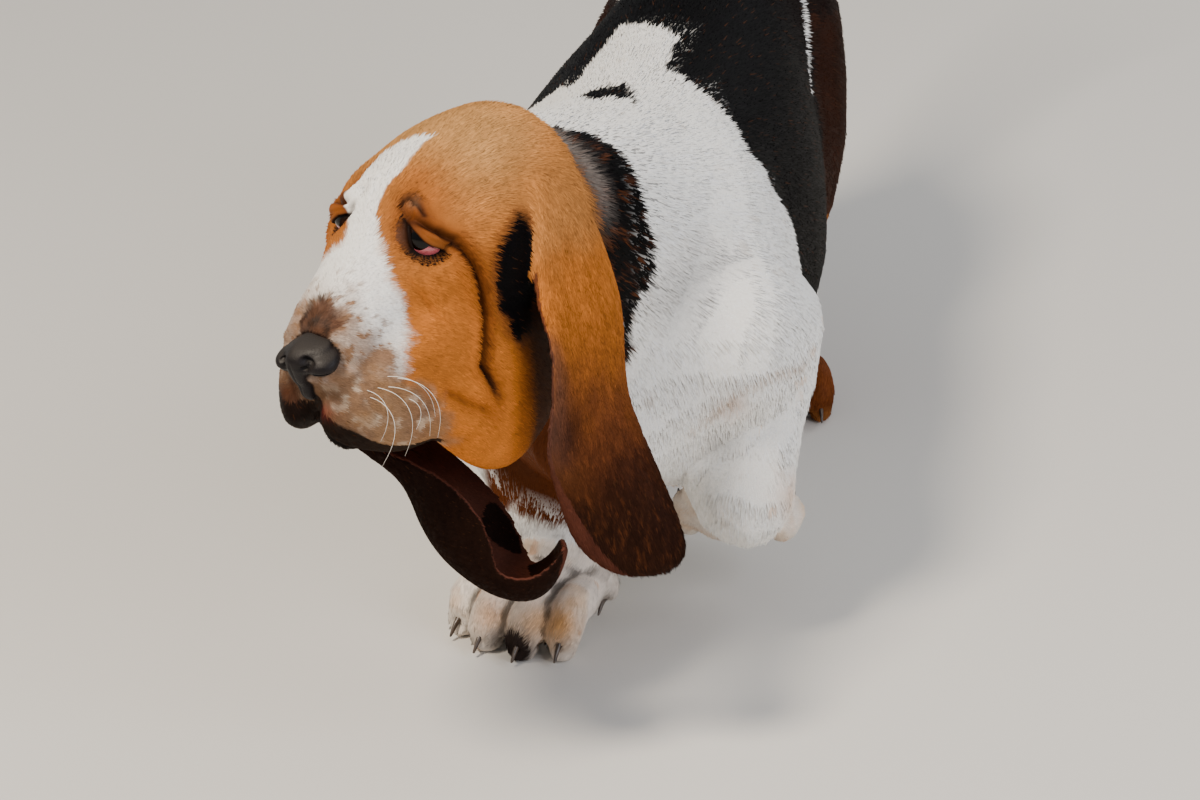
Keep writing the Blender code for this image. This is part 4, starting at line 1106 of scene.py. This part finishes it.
def new_mesh(name, points, corners, corner_counts=3):
    """A mesh from points and faces that all have this many corners."""
    mesh = bpy.data.meshes.new(name)
    corners = np.asarray(corners, np.int32)
    mesh.vertices.add(len(points))
    mesh.vertices.foreach_set("co", np.asarray(points, np.float32).ravel())
    mesh.loops.add(corners.size)
    mesh.loops.foreach_set("vertex_index", corners.ravel())
    mesh.polygons.add(len(corners))
    starts = np.arange(0, corners.size, corner_counts, dtype=np.int32)
    mesh.polygons.foreach_set("loop_start", starts)
    mesh.update(calc_edges=True)
    return mesh


def dressed(piece, material):
    """Gives a piece its material, smooth shading and its body."""
    mesh = piece.data
    mesh.polygons.foreach_set("use_smooth", np.ones(len(mesh.polygons), bool))
    mesh.materials.clear()
    mesh.materials.append(material)
    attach(piece, "root")
    return piece


def new_piece(name, mesh, material):
    piece = bpy.data.objects.new(name, mesh)
    bpy.context.scene.collection.objects.link(piece)
    return dressed(piece, material)


def keep_values(mesh, name, values):
    """Keeps one value at each point under a name that a material reads."""
    layer = mesh.attributes.new(name, "FLOAT", "POINT")
    layer.data.foreach_set("value", values.astype(np.float32))


def with_colour(mesh, colour, rough):
    """Keeps the coat's colour and roughness at each point."""
    layer = mesh.color_attributes.new("coat_colour", "FLOAT_COLOR", "POINT")
    values = np.hstack([colour, rough[:, None]]).astype(np.float32)
    layer.data.foreach_set("color", values.ravel())


def with_normals(mesh, normals):
    layer = mesh.attributes.new("custom_normal", "FLOAT_VECTOR", "POINT")
    layer.data.foreach_set("vector", normals.astype(np.float32).ravel())


def roughness_of(colour):
    """Black hairs are glossier than white ones."""
    return 0.52 + 0.18 * step(0.0, 0.25, colour @ LIGHTNESS)


def coat_chart(points, label, normals):
    """A flat place for each point of the skin: every part of the body unrolled round its own length."""
    flat = np.zeros((len(points), 2))
    for number, name in enumerate(LABELS):
        mine = np.nonzero(label == number)[0]
        if not len(mine):
            continue
        low, high = (np.array(c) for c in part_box(name))
        span = high - low
        axis = int(span.argmax())
        sides = [k for k in range(3) if k != axis]
        middle = (low + high) / 2
        p = points[mine]
        around = np.arctan2(p[:, sides[0]] - middle[sides[0]], p[:, sides[1]] - middle[sides[1]])
        along = np.clip((p[:, axis] - low[axis]) / span[axis], 0, 1)
        if name in EARS:
            outer = (normals[mine, 0] * (1 if name == "ear_left" else -1)) > 0
            across = (p[:, 1] - low[1]) / span[1]
            around = (np.clip(across, 0, 1) * 0.96 - 0.98 + np.where(outer, 0, 1)) * math.pi
        column, row = number % 5, number // 5
        cell = np.stack([(around / math.pi + 1) / 2, along], axis=1)
        flat[mine] = (np.array((column, row)) + 0.03 + 0.94 * cell) * 0.2
    return flat


def painted_cavity_shade(points, normals, edges, label):
    """Painted shade: darker clefts between toes and in folds, by how far they lie below their surroundings."""
    around = smoothed(points, edges, 0.7, 14)
    depth = ((around - points) * normals).sum(axis=1)
    full = np.where(on(label, *PAWS), 0.0007, 0.0012)
    strength = np.where(on(label, *PAWS), 0.75, 0.35)
    return 1 - strength * step(0.15, 1.0, depth / full)


def make_skin(form):
    """Finishes the form as the skin's three pieces and gives its surface back for the coat."""
    edit(form, (bpy.ops.mesh.select_mode, {"type": "FACE"}), SELECT_NONE)
    centres = read(form.data.polygons, "center", 3).astype(float)
    form.data.polygons.foreach_set("select", eye_distance(centres) < FINER_ZONE)
    finer = (bpy.ops.mesh.subdivide, {"number_cuts": 2})
    edit(form, finer, (bpy.ops.mesh.quads_convert_to_tris, {}))
    mesh = form.data
    edges = edges_of(mesh)
    points = points_of(mesh)
    label = Labeller(LABELS)(points)
    points = smoothed(points, edges, np.where(eye_distance(points) < SMOOTH_ZONE, 0.5, 0.25), 3)
    put_points(mesh, points)
    points = under_leather(carve_lids(sculpt(points, normals_of(mesh), label)))
    points = smoothed(points, edges, 0.35 * (eye_distance(points) < SMOOTH_ZONE), 2)
    put_points(mesh, points)
    normals = normals_of(mesh)
    faces = triangles_of(mesh)
    label = Labeller(FLESH + ["nose"])(points)
    # Painted shade: the coat's colour is darkened in clefts and folds.
    shade = painted_cavity_shade(points, normals, edges, label)
    colour = painted(points, label, normals) * shade[:, None]
    lie = flat_on(smoothed(lie_of(points, label, normals), edges, 0.6, 24), normals)
    length = smoothed(coat_length(points, label)[:, None], edges, 0.5, 10)[:, 0]
    middle = points[faces].mean(axis=1)
    ears = on(label[faces[:, 0]], *EARS)
    face = (past(middle, NECK_TOP) > -0.012) & ~ears
    for name, slot, mine in (
        ("skin_head", "tan_coat", face),
        ("skin_ears", "brown_coat", ears),
        ("skin_body", "white_coat", ~face & ~ears),
    ):
        used, corner = np.unique(faces[mine], return_inverse=True)
        part = new_mesh(name, points[used], corner.reshape(-1, 3))
        with_normals(part, normals[used])
        with_colour(part, colour[used] * 0.92, roughness_of(colour[used]))
        new_piece(name, part, SKIN)
    bpy.data.objects.remove(form)
    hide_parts("head", "lower_jaw")
    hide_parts(*EARS)
    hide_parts(*TRUNK, *PAWS)
    return points, faces, label, normals, lie, length, shade


# The coat


def grow_coat(surface, total):
    """Short flat tufts over the whole skin, in pieces of under 200,000 triangles."""
    points, faces, label, normals, lie, length, cavity_shade = surface
    chance = np.random.default_rng(11)
    corner = points[faces]
    area = np.linalg.norm(np.cross(corner[:, 1] - corner[:, 0], corner[:, 2] - corner[:, 0]), axis=1) / 2
    face_label = label[faces[:, 0]]
    size = length[faces].mean(axis=1)
    thick = 1 / np.maximum(size, 0.0025) ** 1.15
    middle = corner.mean(axis=1)
    thick *= size >= 0.0012
    thick *= np.where(on(face_label, "torso") & (middle[:, 1] > 0.16), 0.6, 1.0)
    thick *= middle[:, 2] >= 0.004
    weight = area * thick
    picked = np.searchsorted(np.cumsum(weight) / weight.sum(), chance.random(total))
    picked = np.minimum(picked, len(faces) - 1)
    a, b = chance.random((2, total))
    flip = a + b > 1
    a[flip], b[flip] = 1 - a[flip], 1 - b[flip]
    share = np.stack([1 - a - b, a, b], axis=1)[:, :, None]
    tri = faces[picked]
    root = (points[tri] * share).sum(axis=1)
    up = unit((normals[tri] * share).sum(axis=1))
    way = flat_on((lie[tri] * share).sum(axis=1) + 0.10 * chance.normal(size=(total, 3)), up)
    reach = (length[tri] * share[:, :, 0]).sum(axis=1) * chance.uniform(0.72, 1.2, total)
    mark = tri[np.arange(total), share[:, :, 0].argmax(axis=1)]
    kind = label[mark]
    # Painted shade: each tuft takes the darkening of the clefts and folds at its root.
    colour = painted(root, kind, up) * (cavity_shade[tri] * share[:, :, 0]).sum(axis=1)[:, None]
    light = (colour @ LIGHTNESS)[:, None]
    shade = 1 + chance.normal(size=(total, 1)) * np.where(light > 0.5, 0.035, 0.13)
    colour = np.clip(colour * shade, 0.002, 0.92)
    odd = chance.random(total) < 0.02
    brown = (light[:, 0] < 0.02) & (chance.random(total) < 0.025)
    colour[odd & ~brown] *= 0.8
    colour[brown] = rgb("#3A2213")
    lift = np.radians(chance.uniform(3, 9, total))[:, None]
    axis = way * np.cos(lift) + up * np.sin(lift)
    side = np.cross(up, way)
    wide = (0.00032 + 0.045 * reach)[:, None] * chance.uniform(0.8, 1.3, (total, 1))
    tip = root + axis * reach[:, None]
    sunk = root - up * 0.00025
    vertices = np.stack([sunk - side * wide, sunk + side * wide, sunk + up * wide * 0.9, tip], axis=1)
    vertices[:, :, 2] = np.maximum(vertices[:, :, 2], 0.0003)
    bend = np.stack([up - side * 0.18, up + side * 0.18, up, up + way * 0.15], axis=1)
    # Painted shade and light along each tuft: its root corners darker and its tip lighter, less so on light
    # hair.
    spread = (1 - 0.65 * step(0.15, 0.55, light))[:, :, None]
    tone = 1 + spread * np.array((-0.16, -0.16, -0.08, 0.10))[None, :, None]
    tones = np.clip(colour[:, None] * tone, 0.001, 0.95)
    rough = roughness_of(colour)
    place_on_chart = coat_chart(root, kind, up)
    corners = np.array(((0, 2, 1), (0, 1, 3), (1, 2, 3), (2, 0, 3)), np.int32)
    patch = np.array(((-1, -1), (1, -1), (0, 0.2), (0, 1))) * 0.0015
    group = np.select(
        [on(kind, *EARS), on(kind, *FACE), on(kind, *PAWS), on(kind, *LIMBS)], [1, 0, 3, 4], 2
    )
    names = ("coat_face", "coat_ears", "coat_trunk", "coat_paws", "coat_legs")
    slots = ("tan_coat", "brown_coat", "black_coat", "white_coat", "white_coat")
    for number, (name, slot) in enumerate(zip(names, slots)):
        mine = np.nonzero(group == number)[0]
        mine = mine[np.argsort(root[mine, 1], kind="stable")]
        shares = max(1, math.ceil(len(mine) / TUFTS_IN_A_PIECE))
        for k, some in enumerate(np.array_split(mine, shares), 1):
            count = len(some)
            index = (np.arange(count, dtype=np.int32)[:, None, None] * 4 + corners[None]).reshape(-1, 3)
            title = f"{name}_{k}"
            mesh = new_mesh(title, vertices[some].reshape(-1, 3), index)
            with_normals(mesh, unit(bend[some]).reshape(-1, 3))
            with_colour(mesh, tones[some].reshape(-1, 3), np.repeat(rough[some], 4))
            layer = mesh.uv_layers.new(name="OFBake")
            spot = place_on_chart[some][:, None] + patch[None]
            flat = spot.reshape(-1, 2)[index.ravel()]
            layer.data.foreach_set("uv", flat.astype(np.float32).ravel())
            new_piece(title, mesh, COAT)


# Materials


def add_node(tree, kind, inputs=None, **settings):
    """Adds a node with its settings, and links or sets its inputs."""
    node = tree.nodes.new(kind)
    for key, value in settings.items():
        setattr(node, key, value)
    for key, value in (inputs or {}).items():
        if isinstance(value, bpy.types.NodeSocket):
            tree.links.new(value, node.inputs[key])
        else:
            node.inputs[key].default_value = value
    return node


def new_material(name, **inputs):
    """A named material with its Principled shader's constant sockets set."""
    material = bpy.data.materials.new(name)
    material.use_nodes = True
    tree = material.node_tree
    shader = tree.nodes["Principled BSDF"]
    for key, value in inputs.items():
        shader.inputs[key.replace("_", " ")].default_value = value
    return material, tree, shader


def texture(tree, kind="Noise", output="Fac", **inputs):
    """A texture laid out in metres, by the output asked for."""
    inputs["Vector"] = add_node(tree, "ShaderNodeTexCoord").outputs["Object"]
    return add_node(tree, "ShaderNodeTex" + kind, inputs).outputs[output]


def ranged(tree, value, low, high, top=1.0):
    inputs = {"Value": value, "From Max": top, "To Min": low, "To Max": high}
    return add_node(tree, "ShaderNodeMapRange", inputs).outputs["Result"]


def between(tree, share, first, second):
    inputs = {"Factor": share, "A": first, "B": second}
    return add_node(tree, "ShaderNodeMix", inputs, data_type="RGBA").outputs["Result"]


def bump(tree, shader, height, strength, depth):
    node = add_node(tree, "ShaderNodeBump", {"Height": height, "Strength": strength, "Distance": depth})
    tree.links.new(node.outputs["Normal"], shader.inputs["Normal"])


def painted_hair(name, low, high, **grain):
    """Hair in the colour and roughness kept at each point, varied a little by a fine grain."""
    material, tree, shader = new_material(name, Specular_IOR_Level=0.06, IOR=1.35)
    paint = add_node(tree, "ShaderNodeVertexColor", layer_name="coat_colour")
    fine = texture(tree, **grain)
    inputs = {0: paint.outputs["Color"], 1: ranged(tree, fine, low, high)}
    shaded = add_node(tree, "ShaderNodeVectorMath", inputs, operation="MULTIPLY")
    tree.links.new(shaded.outputs["Vector"], shader.inputs["Base Color"])
    tree.links.new(paint.outputs["Alpha"], shader.inputs["Roughness"])
    return material, tree, shader, fine


def two_tone(name, first, second, grain, relief=None, **inputs):
    """A material between two colours in a fine grain, which may also stand in relief."""
    material, tree, shader = new_material(name, **inputs)
    fine = texture(tree, **grain)
    hue = between(tree, fine, linear(first), linear(second))
    tree.links.new(hue, shader.inputs["Base Color"])
    if relief:
        bump(tree, shader, fine, *relief)
    return material


def coat_material():
    """Short dog hair lying flat: each hair is smooth keratin, the coat as a whole a soft satin."""
    return painted_hair("short_hound_coat", 0.88, 1.10, Scale=420.0, Detail=2.0)[0]


def skin_material():
    """The undercoat seen between the tufts: the same markings, a fine bristly bump about 1 mm apart."""
    material, tree, shader, fine = painted_hair("hound_undercoat", 0.85, 1.12, Scale=900.0, Detail=3.0)
    bump(tree, shader, fine, 0.35, 0.0004)
    return material


def nose_material():
    """Bare nose leather: black skin in pebbles about 0.8 mm across, darker in front, with a painted sheen that
    makes it lighter and greyer on top.
    """
    material, tree, shader = new_material(
        "nose_leather", Specular_IOR_Level=0.16, Coat_Weight=0.04, Coat_Roughness=0.3
    )
    pebble = texture(tree, "Voronoi", "Distance", Scale=1150.0)
    bump(tree, shader, ranged(tree, pebble, 1.0, 0.0, 0.7), 0.5, 0.0003)
    mottle = texture(tree, Scale=160.0, Detail=3.0)
    leather_mottle = between(tree, mottle, linear("#0B090A"), linear("#1E191A"))
    # Painted sheen: the leather that faces up is lighter and greyer
    painted_top_sheen = add_node(tree, "ShaderNodeAttribute", attribute_name="painted_top_sheen")
    skin = between(tree, painted_top_sheen.outputs["Fac"], leather_mottle, linear("#2F2B28"))
    tree.links.new(skin, shader.inputs["Base Color"])
    tree.links.new(ranged(tree, mottle, 0.42, 0.60), shader.inputs["Roughness"])
    return material


def claw_material():
    """Claw horn: dark keratin with a fine grain about 2 mm across, paler in places."""
    grain, look = {"Scale": 500.0, "Detail": 2.0}, {"Specular_IOR_Level": 0.5, "IOR": 1.55, "Roughness": 0.32}
    return two_tone("claw_keratin", "#1B1614", "#5B4A3C", grain, (0.25, 0.0002), **look)


def eye_material():
    """The eye: a brown iris round a black pupil under a wet clear cornea, on a pinkish white ball."""
    look = {"Roughness": 0.15, "Specular_IOR_Level": 0.15, "Coat_Weight": 0.14, "Coat_Roughness": 0.03}
    material, tree, shader = new_material("wet_eye", **look)
    gaze = add_node(tree, "ShaderNodeAttribute", attribute_name="gaze")
    ramp = add_node(tree, "ShaderNodeValToRGB", {"Fac": gaze.outputs["Fac"]})
    stops = ramp.color_ramp.elements
    stops[0].color = linear("#C59A8C")
    stops[1].position = 0.60
    stops[1].color = linear("#B5867A")
    for position, code in ((0.645, "#140906"), (0.70, "#2C140A"), (0.84, "#1F0E07"), (0.88, "#020101")):
        stops.new(position).color = linear(code)
    tree.links.new(ramp.outputs["Color"], shader.inputs["Base Color"])
    return material


def haw_material():
    """The haw: wet pink-red lining of the sagging lower lid, with a few darker veins."""
    grain = {"Scale": 700.0, "Detail": 4.0, "Distortion": 1.5}
    look = {"Roughness": 0.22, "Specular_IOR_Level": 0.5, "Coat_Weight": 0.6, "Coat_Roughness": 0.08}
    return two_tone("wet_haw", "#8E2B38", "#D0707A", grain, **look)


def whisker_material():
    """Whiskers: stiff white keratin bristles, slightly glossy, a little darker in places."""
    look = {"Roughness": 0.35, "Specular_IOR_Level": 0.5}
    return two_tone("whisker_bristle", "#D8CFC4", "#F6F2EC", {"Scale": 90.0}, **look)


COAT = coat_material()
SKIN = skin_material()


# Eyes, nose, claws and whiskers


def make_eyes():
    wet, red = eye_material(), haw_material()
    for side, node in ((1, "eye_left"), (-1, "eye_right")):
        deselect()
        bpy.ops.mesh.primitive_uv_sphere_add(segments=64, ring_count=40, radius=1)
        ball = bpy.context.active_object
        seen = unit(points_of(ball.data))
        gaze = seen @ unit(np.array((-0.34, -0.06, 0.94)))
        behind_lids = step(0.0012, 0.0035, lid_distance(seen, side))
        bulge = BALL_RADIUS + 0.0008 * step(0.80, 0.97, gaze) - 0.0035 * behind_lids
        matrix = HEAD_PLACE @ eye_frame(side)
        put_points(ball.data, place(matrix, seen * bulge[:, None]))
        keep_values(ball.data, "gaze", gaze)
        ball.name = node.replace("eye", "eyeball")
        edit(ball, SELECT_ALL, TURN_OUT)
        dressed(ball, wet)
        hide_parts(node)
        make_haw(side, matrix, red)


def make_haw(side, matrix, material):
    """The lining that shows between the eyeball and the lower lid, as a thin crescent."""
    along = np.linspace(-0.60, 0.91, 49)
    low = np.interp(along, *np.array(((-0.83, 0.13),) + LOWER_LID + ((0.91, -0.14),)).T) - 0.05
    high = np.interp(along, *np.array(((-0.62, -0.14),) + HAW_EDGE).T)
    high = np.minimum(high, np.interp(along, *upper_lid(side).T) + 0.02)
    rows = []
    for layer in (1, -1):
        for t in np.linspace(0, 1, 9):
            y = low + (high - low) * t
            z = np.sqrt(np.maximum(1 - along**2 - y**2, 0.03))
            way = unit(np.stack([along, y, z], axis=1))
            swell = BALL_RADIUS + 0.00055 * math.sqrt(max(0.0, 1 - t**3)) + 0.0001
            rows.append(way * (swell if layer > 0 else BALL_RADIUS - 0.0012))
    rows = rows[:9] + rows[9:][::-1]
    grid = np.array(rows)
    count, width = grid.shape[:2]
    faces = []
    for row in range(count):
        a, b = row * width, (row + 1) % count * width
        faces += [(a + k, a + k + 1, b + k + 1, b + k) for k in range(width - 1)]
    mesh = new_mesh("haw", place(matrix, grid.reshape(-1, 3)), faces, 4)
    haw = new_piece("haw_left" if side > 0 else "haw_right", mesh, material)
    edit(haw, SELECT_ALL, FILL, TURN_OUT)


# The nose leather's surface, for the skin and the hairs round it
LEATHER = {}


def leather_away(points):
    """Distance outside the nose leather, negative inside it, up to 3 cm."""
    away = np.full(len(points), 0.03)
    near = away_from(head_local(points), (0, 0.205, -0.060)) < 0.035
    for i in np.flatnonzero(near):
        point = Vector(points[i])
        hit, normal, _, distance = LEATHER["tree"].find_nearest(point)
        away[i] = math.copysign(distance, (point - hit).dot(normal))
    return away


def under_leather(points):
    """Lets the skin slope down to the leather's back edge and keeps it inside the leather from there."""
    local = head_local(points)
    x, u, w = local.T
    slope = step(0.176, 0.197, u) * step(-0.062, -0.050, w)
    local[:, 2] -= slope * (0.0045 * bell(x / 0.014) + 0.0040 * step(0.0, -0.015, x))
    middle = np.array((0.0, 0.203, -0.056))
    covered = step(0.1965, 0.201, u) * step(-0.0675, -0.0625, w)
    start = Vector(head_world(middle[None])[0])
    for i in np.flatnonzero(covered > 0.001):
        ray = local[i] - middle
        length = np.linalg.norm(ray)
        way = Vector(head_world((middle + ray / length)[None])[0]) - start
        hit, _, _, reach = LEATHER["tree"].ray_cast(start, way)
        if hit is not None:
            inside = min(length, max(reach - LEATHER_COVER, 0.001))
            local[i] = middle + ray / length * (length + (inside - length) * covered[i])
    return head_world(local)


def make_nose():
    """The nose leather, rounded from its solid, with deep nostrils."""
    nose = fused("nose_leather", [node_copy("nose", 0.0002)], NOSE_VOXEL)
    mesh = nose.data
    edges = edges_of(mesh)
    local = head_local(smoothed(points_of(mesh), edges, 0.6, 30))
    x, u, w = local.T
    pad = -0.0470 + 0.55 * (w + 0.042)
    groove = step(0.0065, 0.0035, np.abs(x)) * step(-0.062, -0.070, w)
    local[:, 2] = pad + (w - pad) * groove - 0.0040 * step(0.0, -0.015, x)
    local[:, 0] = x * np.where(x < 0, 0.80, 1.06)
    local[:, 2] += 0.0018 * step(0.006, 0.018, x) * step(0.215, 0.200, u)
    local = smoothed(local, edges, 0.5, 10)
    for side in (1, -1):
        drop, wide = (0.0, 1.0) if side > 0 else (-0.0035, 0.76)
        bend = ((0.0100, 0.2200, -0.0515), (0.0150, 0.2175, -0.0560), (0.0195, 0.2120, -0.0595))
        away, along = near_line(local, [(a * side * wide, b, c + drop) for a, b, c in bend])
        spread = wide * (0.0029 - 0.0011 * along)
        local[:, 1] -= 0.0050 * wide**2 * np.exp(-((away / spread) ** 4))
    local[:, 1] -= 0.0008 * bell(local[:, 0] / 0.0008) * step(-0.052, -0.058, local[:, 2])
    put_points(mesh, smoothed(head_world(local), edges, 0.5, 2))
    points = points_of(mesh)
    LEATHER["tree"] = tree_of(points, triangles_of(mesh))
    outward = head_local(points + normals_of(mesh)) - head_local(points)
    # Painted sheen on the leather's top, kept as a value at each point
    keep_values(mesh, "painted_top_sheen", step(0.55, 0.97, outward[:, 2]))
    dressed(nose, nose_material())
    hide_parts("nose")


def make_claws():
    """Each claw rounded from its solid, thicker where it leaves the toe."""
    horn = claw_material()
    for name in sorted(n for n in NODES if "claw" in n):
        claw = node_copy(name)
        use_modifier(claw, "SUBSURF", levels=2, render_levels=2)
        points = points_of(claw.data)
        centre = points.mean(axis=0)
        spread = points - centre
        axis = np.linalg.svd(spread, full_matrices=False)[2][0]
        along = spread @ axis
        width = np.linalg.norm(spread - along[:, None] * axis, axis=1)
        if width[along > 0.6 * along.max()].mean() > width[along < 0.6 * along.min()].mean():
            along = -along
        root = step(0.0, along.min(), along)
        put_points(claw.data, points + normals_of(claw.data) * (0.0005 * root + 0.0001)[:, None])
        claw.name = name.replace("claw", "horn")
        dressed(claw, horn)
        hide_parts(name)


WHISKERS = (
    ((0.0410, 0.1920, -0.0820), 0.052, 0.35), ((0.0400, 0.1900, -0.0760), 0.050, 0.10),
    ((0.0370, 0.1960, -0.0800), 0.060, 0.75), ((0.0345, 0.2000, -0.0850), 0.057, 1.00),
    ((0.0440, 0.1840, -0.0790), 0.058, 0.50), ((0.0450, 0.1800, -0.0960), 0.026, 0.90),
    ((0.0330, 0.2030, -0.0780), 0.044, 0.85),
)


WHISKER_STEPS = 16
WHISKER_SIDES = 5


def make_whiskers(surface):
    """White bristles on both sides of the muzzle that leave outwards and curve down."""
    points, _, label, normals = surface[:4]
    face = on(label, "head")
    local, way = head_local(points[face]), normals[face]
    along = np.linspace(0, 1, WHISKER_STEPS + 1)
    turn = np.linspace(0, 2 * math.pi, WHISKER_SIDES, endpoint=False)
    thick = 0.00019 * (1 - 0.75 * along) + 0.00003
    rings, corners = [], []
    for side in (1, -1):
        for root, length, droop in WHISKERS:
            nearest = away_from(local, np.array(root) * (side, 1, 1)).argmin()
            start = points[face][nearest] - way[nearest] * 0.0015
            first, last = (-0.30, 0.60, -0.50), (0.10, 0.20, -1.0)
            if side > 0:
                first, last = (0.80, 0.55 - 0.5 * droop, -0.02), (-0.55 * droop, -0.45 * droop, -1.0)
            first, last = HEAD_TURN @ np.array(first), HEAD_TURN @ np.array(last)
            path, p = [], start
            for t in along:
                path.append(p)
                swing = min(1.0, 1.15 * t)
                p = p + unit(first * (1 - swing) + last * swing) * length / WHISKER_STEPS
            path = np.array(path)
            tangent = unit(np.gradient(path, axis=0))
            across = unit(np.cross(tangent, (0.3, 0.5, 0.8)))
            over = np.cross(tangent, across)
            base = sum(len(r) for r in rings)
            ring = across[:, None] * np.cos(turn)[:, None] + over[:, None] * np.sin(turn)[:, None]
            rings.append((path[:, None] + thick[:, None, None] * ring).reshape(-1, 3))
            for r in range(WHISKER_STEPS):
                a = base + r * WHISKER_SIDES
                b = a + WHISKER_SIDES
                for k in range(WHISKER_SIDES):
                    n = (k + 1) % WHISKER_SIDES
                    corners.append((a + k, a + n, b + n, b + k))
    mesh = new_mesh("whiskers", np.vstack(rings), corners, 4)
    whiskers = new_piece("whiskers", mesh, whisker_material())
    edit(whiskers, SELECT_ALL, FILL, TURN_OUT)


# Floor, light and camera


def make_floor():
    bpy.ops.mesh.primitive_plane_add(size=40, location=(0, 0, 0))
    floor = bpy.context.active_object
    floor.name = "floor"
    material, _, shader = new_material("pale_floor", Roughness=0.9, Specular_IOR_Level=0.2)
    shader.inputs["Base Color"].default_value = linear("#D9D6D0")
    floor.data.materials.append(material)


def make_light(name, place_at, aim, size, power, colour):
    data = bpy.data.lights.new(name, "AREA")
    data.shape = "DISK"
    data.size = size
    data.energy = power
    data.color = linear(colour)[:3]
    lamp = bpy.data.objects.new(name, data)
    bpy.context.scene.collection.objects.link(lamp)
    lamp.location = place_at
    lamp.rotation_euler = (Vector(aim) - Vector(place_at)).to_track_quat("-Z", "Y").to_euler()


def make_stage():
    make_floor()
    make_light("key", (-1.0, -1.7, 2.7), (0, -0.2, 0.2), 0.8, 120, "#FFF1DE")
    make_light("fill", (2.3, -1.5, 1.6), (0, -0.2, 0.2), 2.0, 48, "#F4F6FF")
    make_light("rim", (1.6, 2.0, 1.8), (0, -0.1, 0.25), 1.2, 18, "#FFFFFF")
    world = bpy.data.worlds.new("studio")
    bpy.context.scene.world = world
    world.use_nodes = True
    world.node_tree.nodes["Background"].inputs["Color"].default_value = linear("#F2F4F8")
    world.node_tree.nodes["Background"].inputs["Strength"].default_value = 0.45


def make_camera():
    """Nine degrees round to the hound's left of straight ahead and 25 degrees above it, 3 m away."""
    azimuth, elevation, distance = math.radians(9), math.radians(25), 3.0
    aim = Vector((0.0018, -0.1851, 0.154))
    level = math.cos(elevation)
    back = Vector((math.sin(azimuth) * level, -math.cos(azimuth) * level, math.sin(elevation)))
    data = bpy.data.cameras.new("camera")
    data.lens = 135
    data.sensor_width = 36
    camera = bpy.data.objects.new("camera", data)
    bpy.context.scene.collection.objects.link(camera)
    camera.location = aim + back * distance
    camera.rotation_euler = (-back).to_track_quat("-Z", "Y").to_euler()
    bpy.context.scene.camera = camera


def main():
    form = build_form()
    thin_out(form, SKIN_TRIANGLES)
    make_nose()
    surface = make_skin(form)
    grow_coat(surface, TUFTS)
    make_eyes()
    make_claws()
    make_whiskers(surface)
    make_stage()
    make_camera()


main()
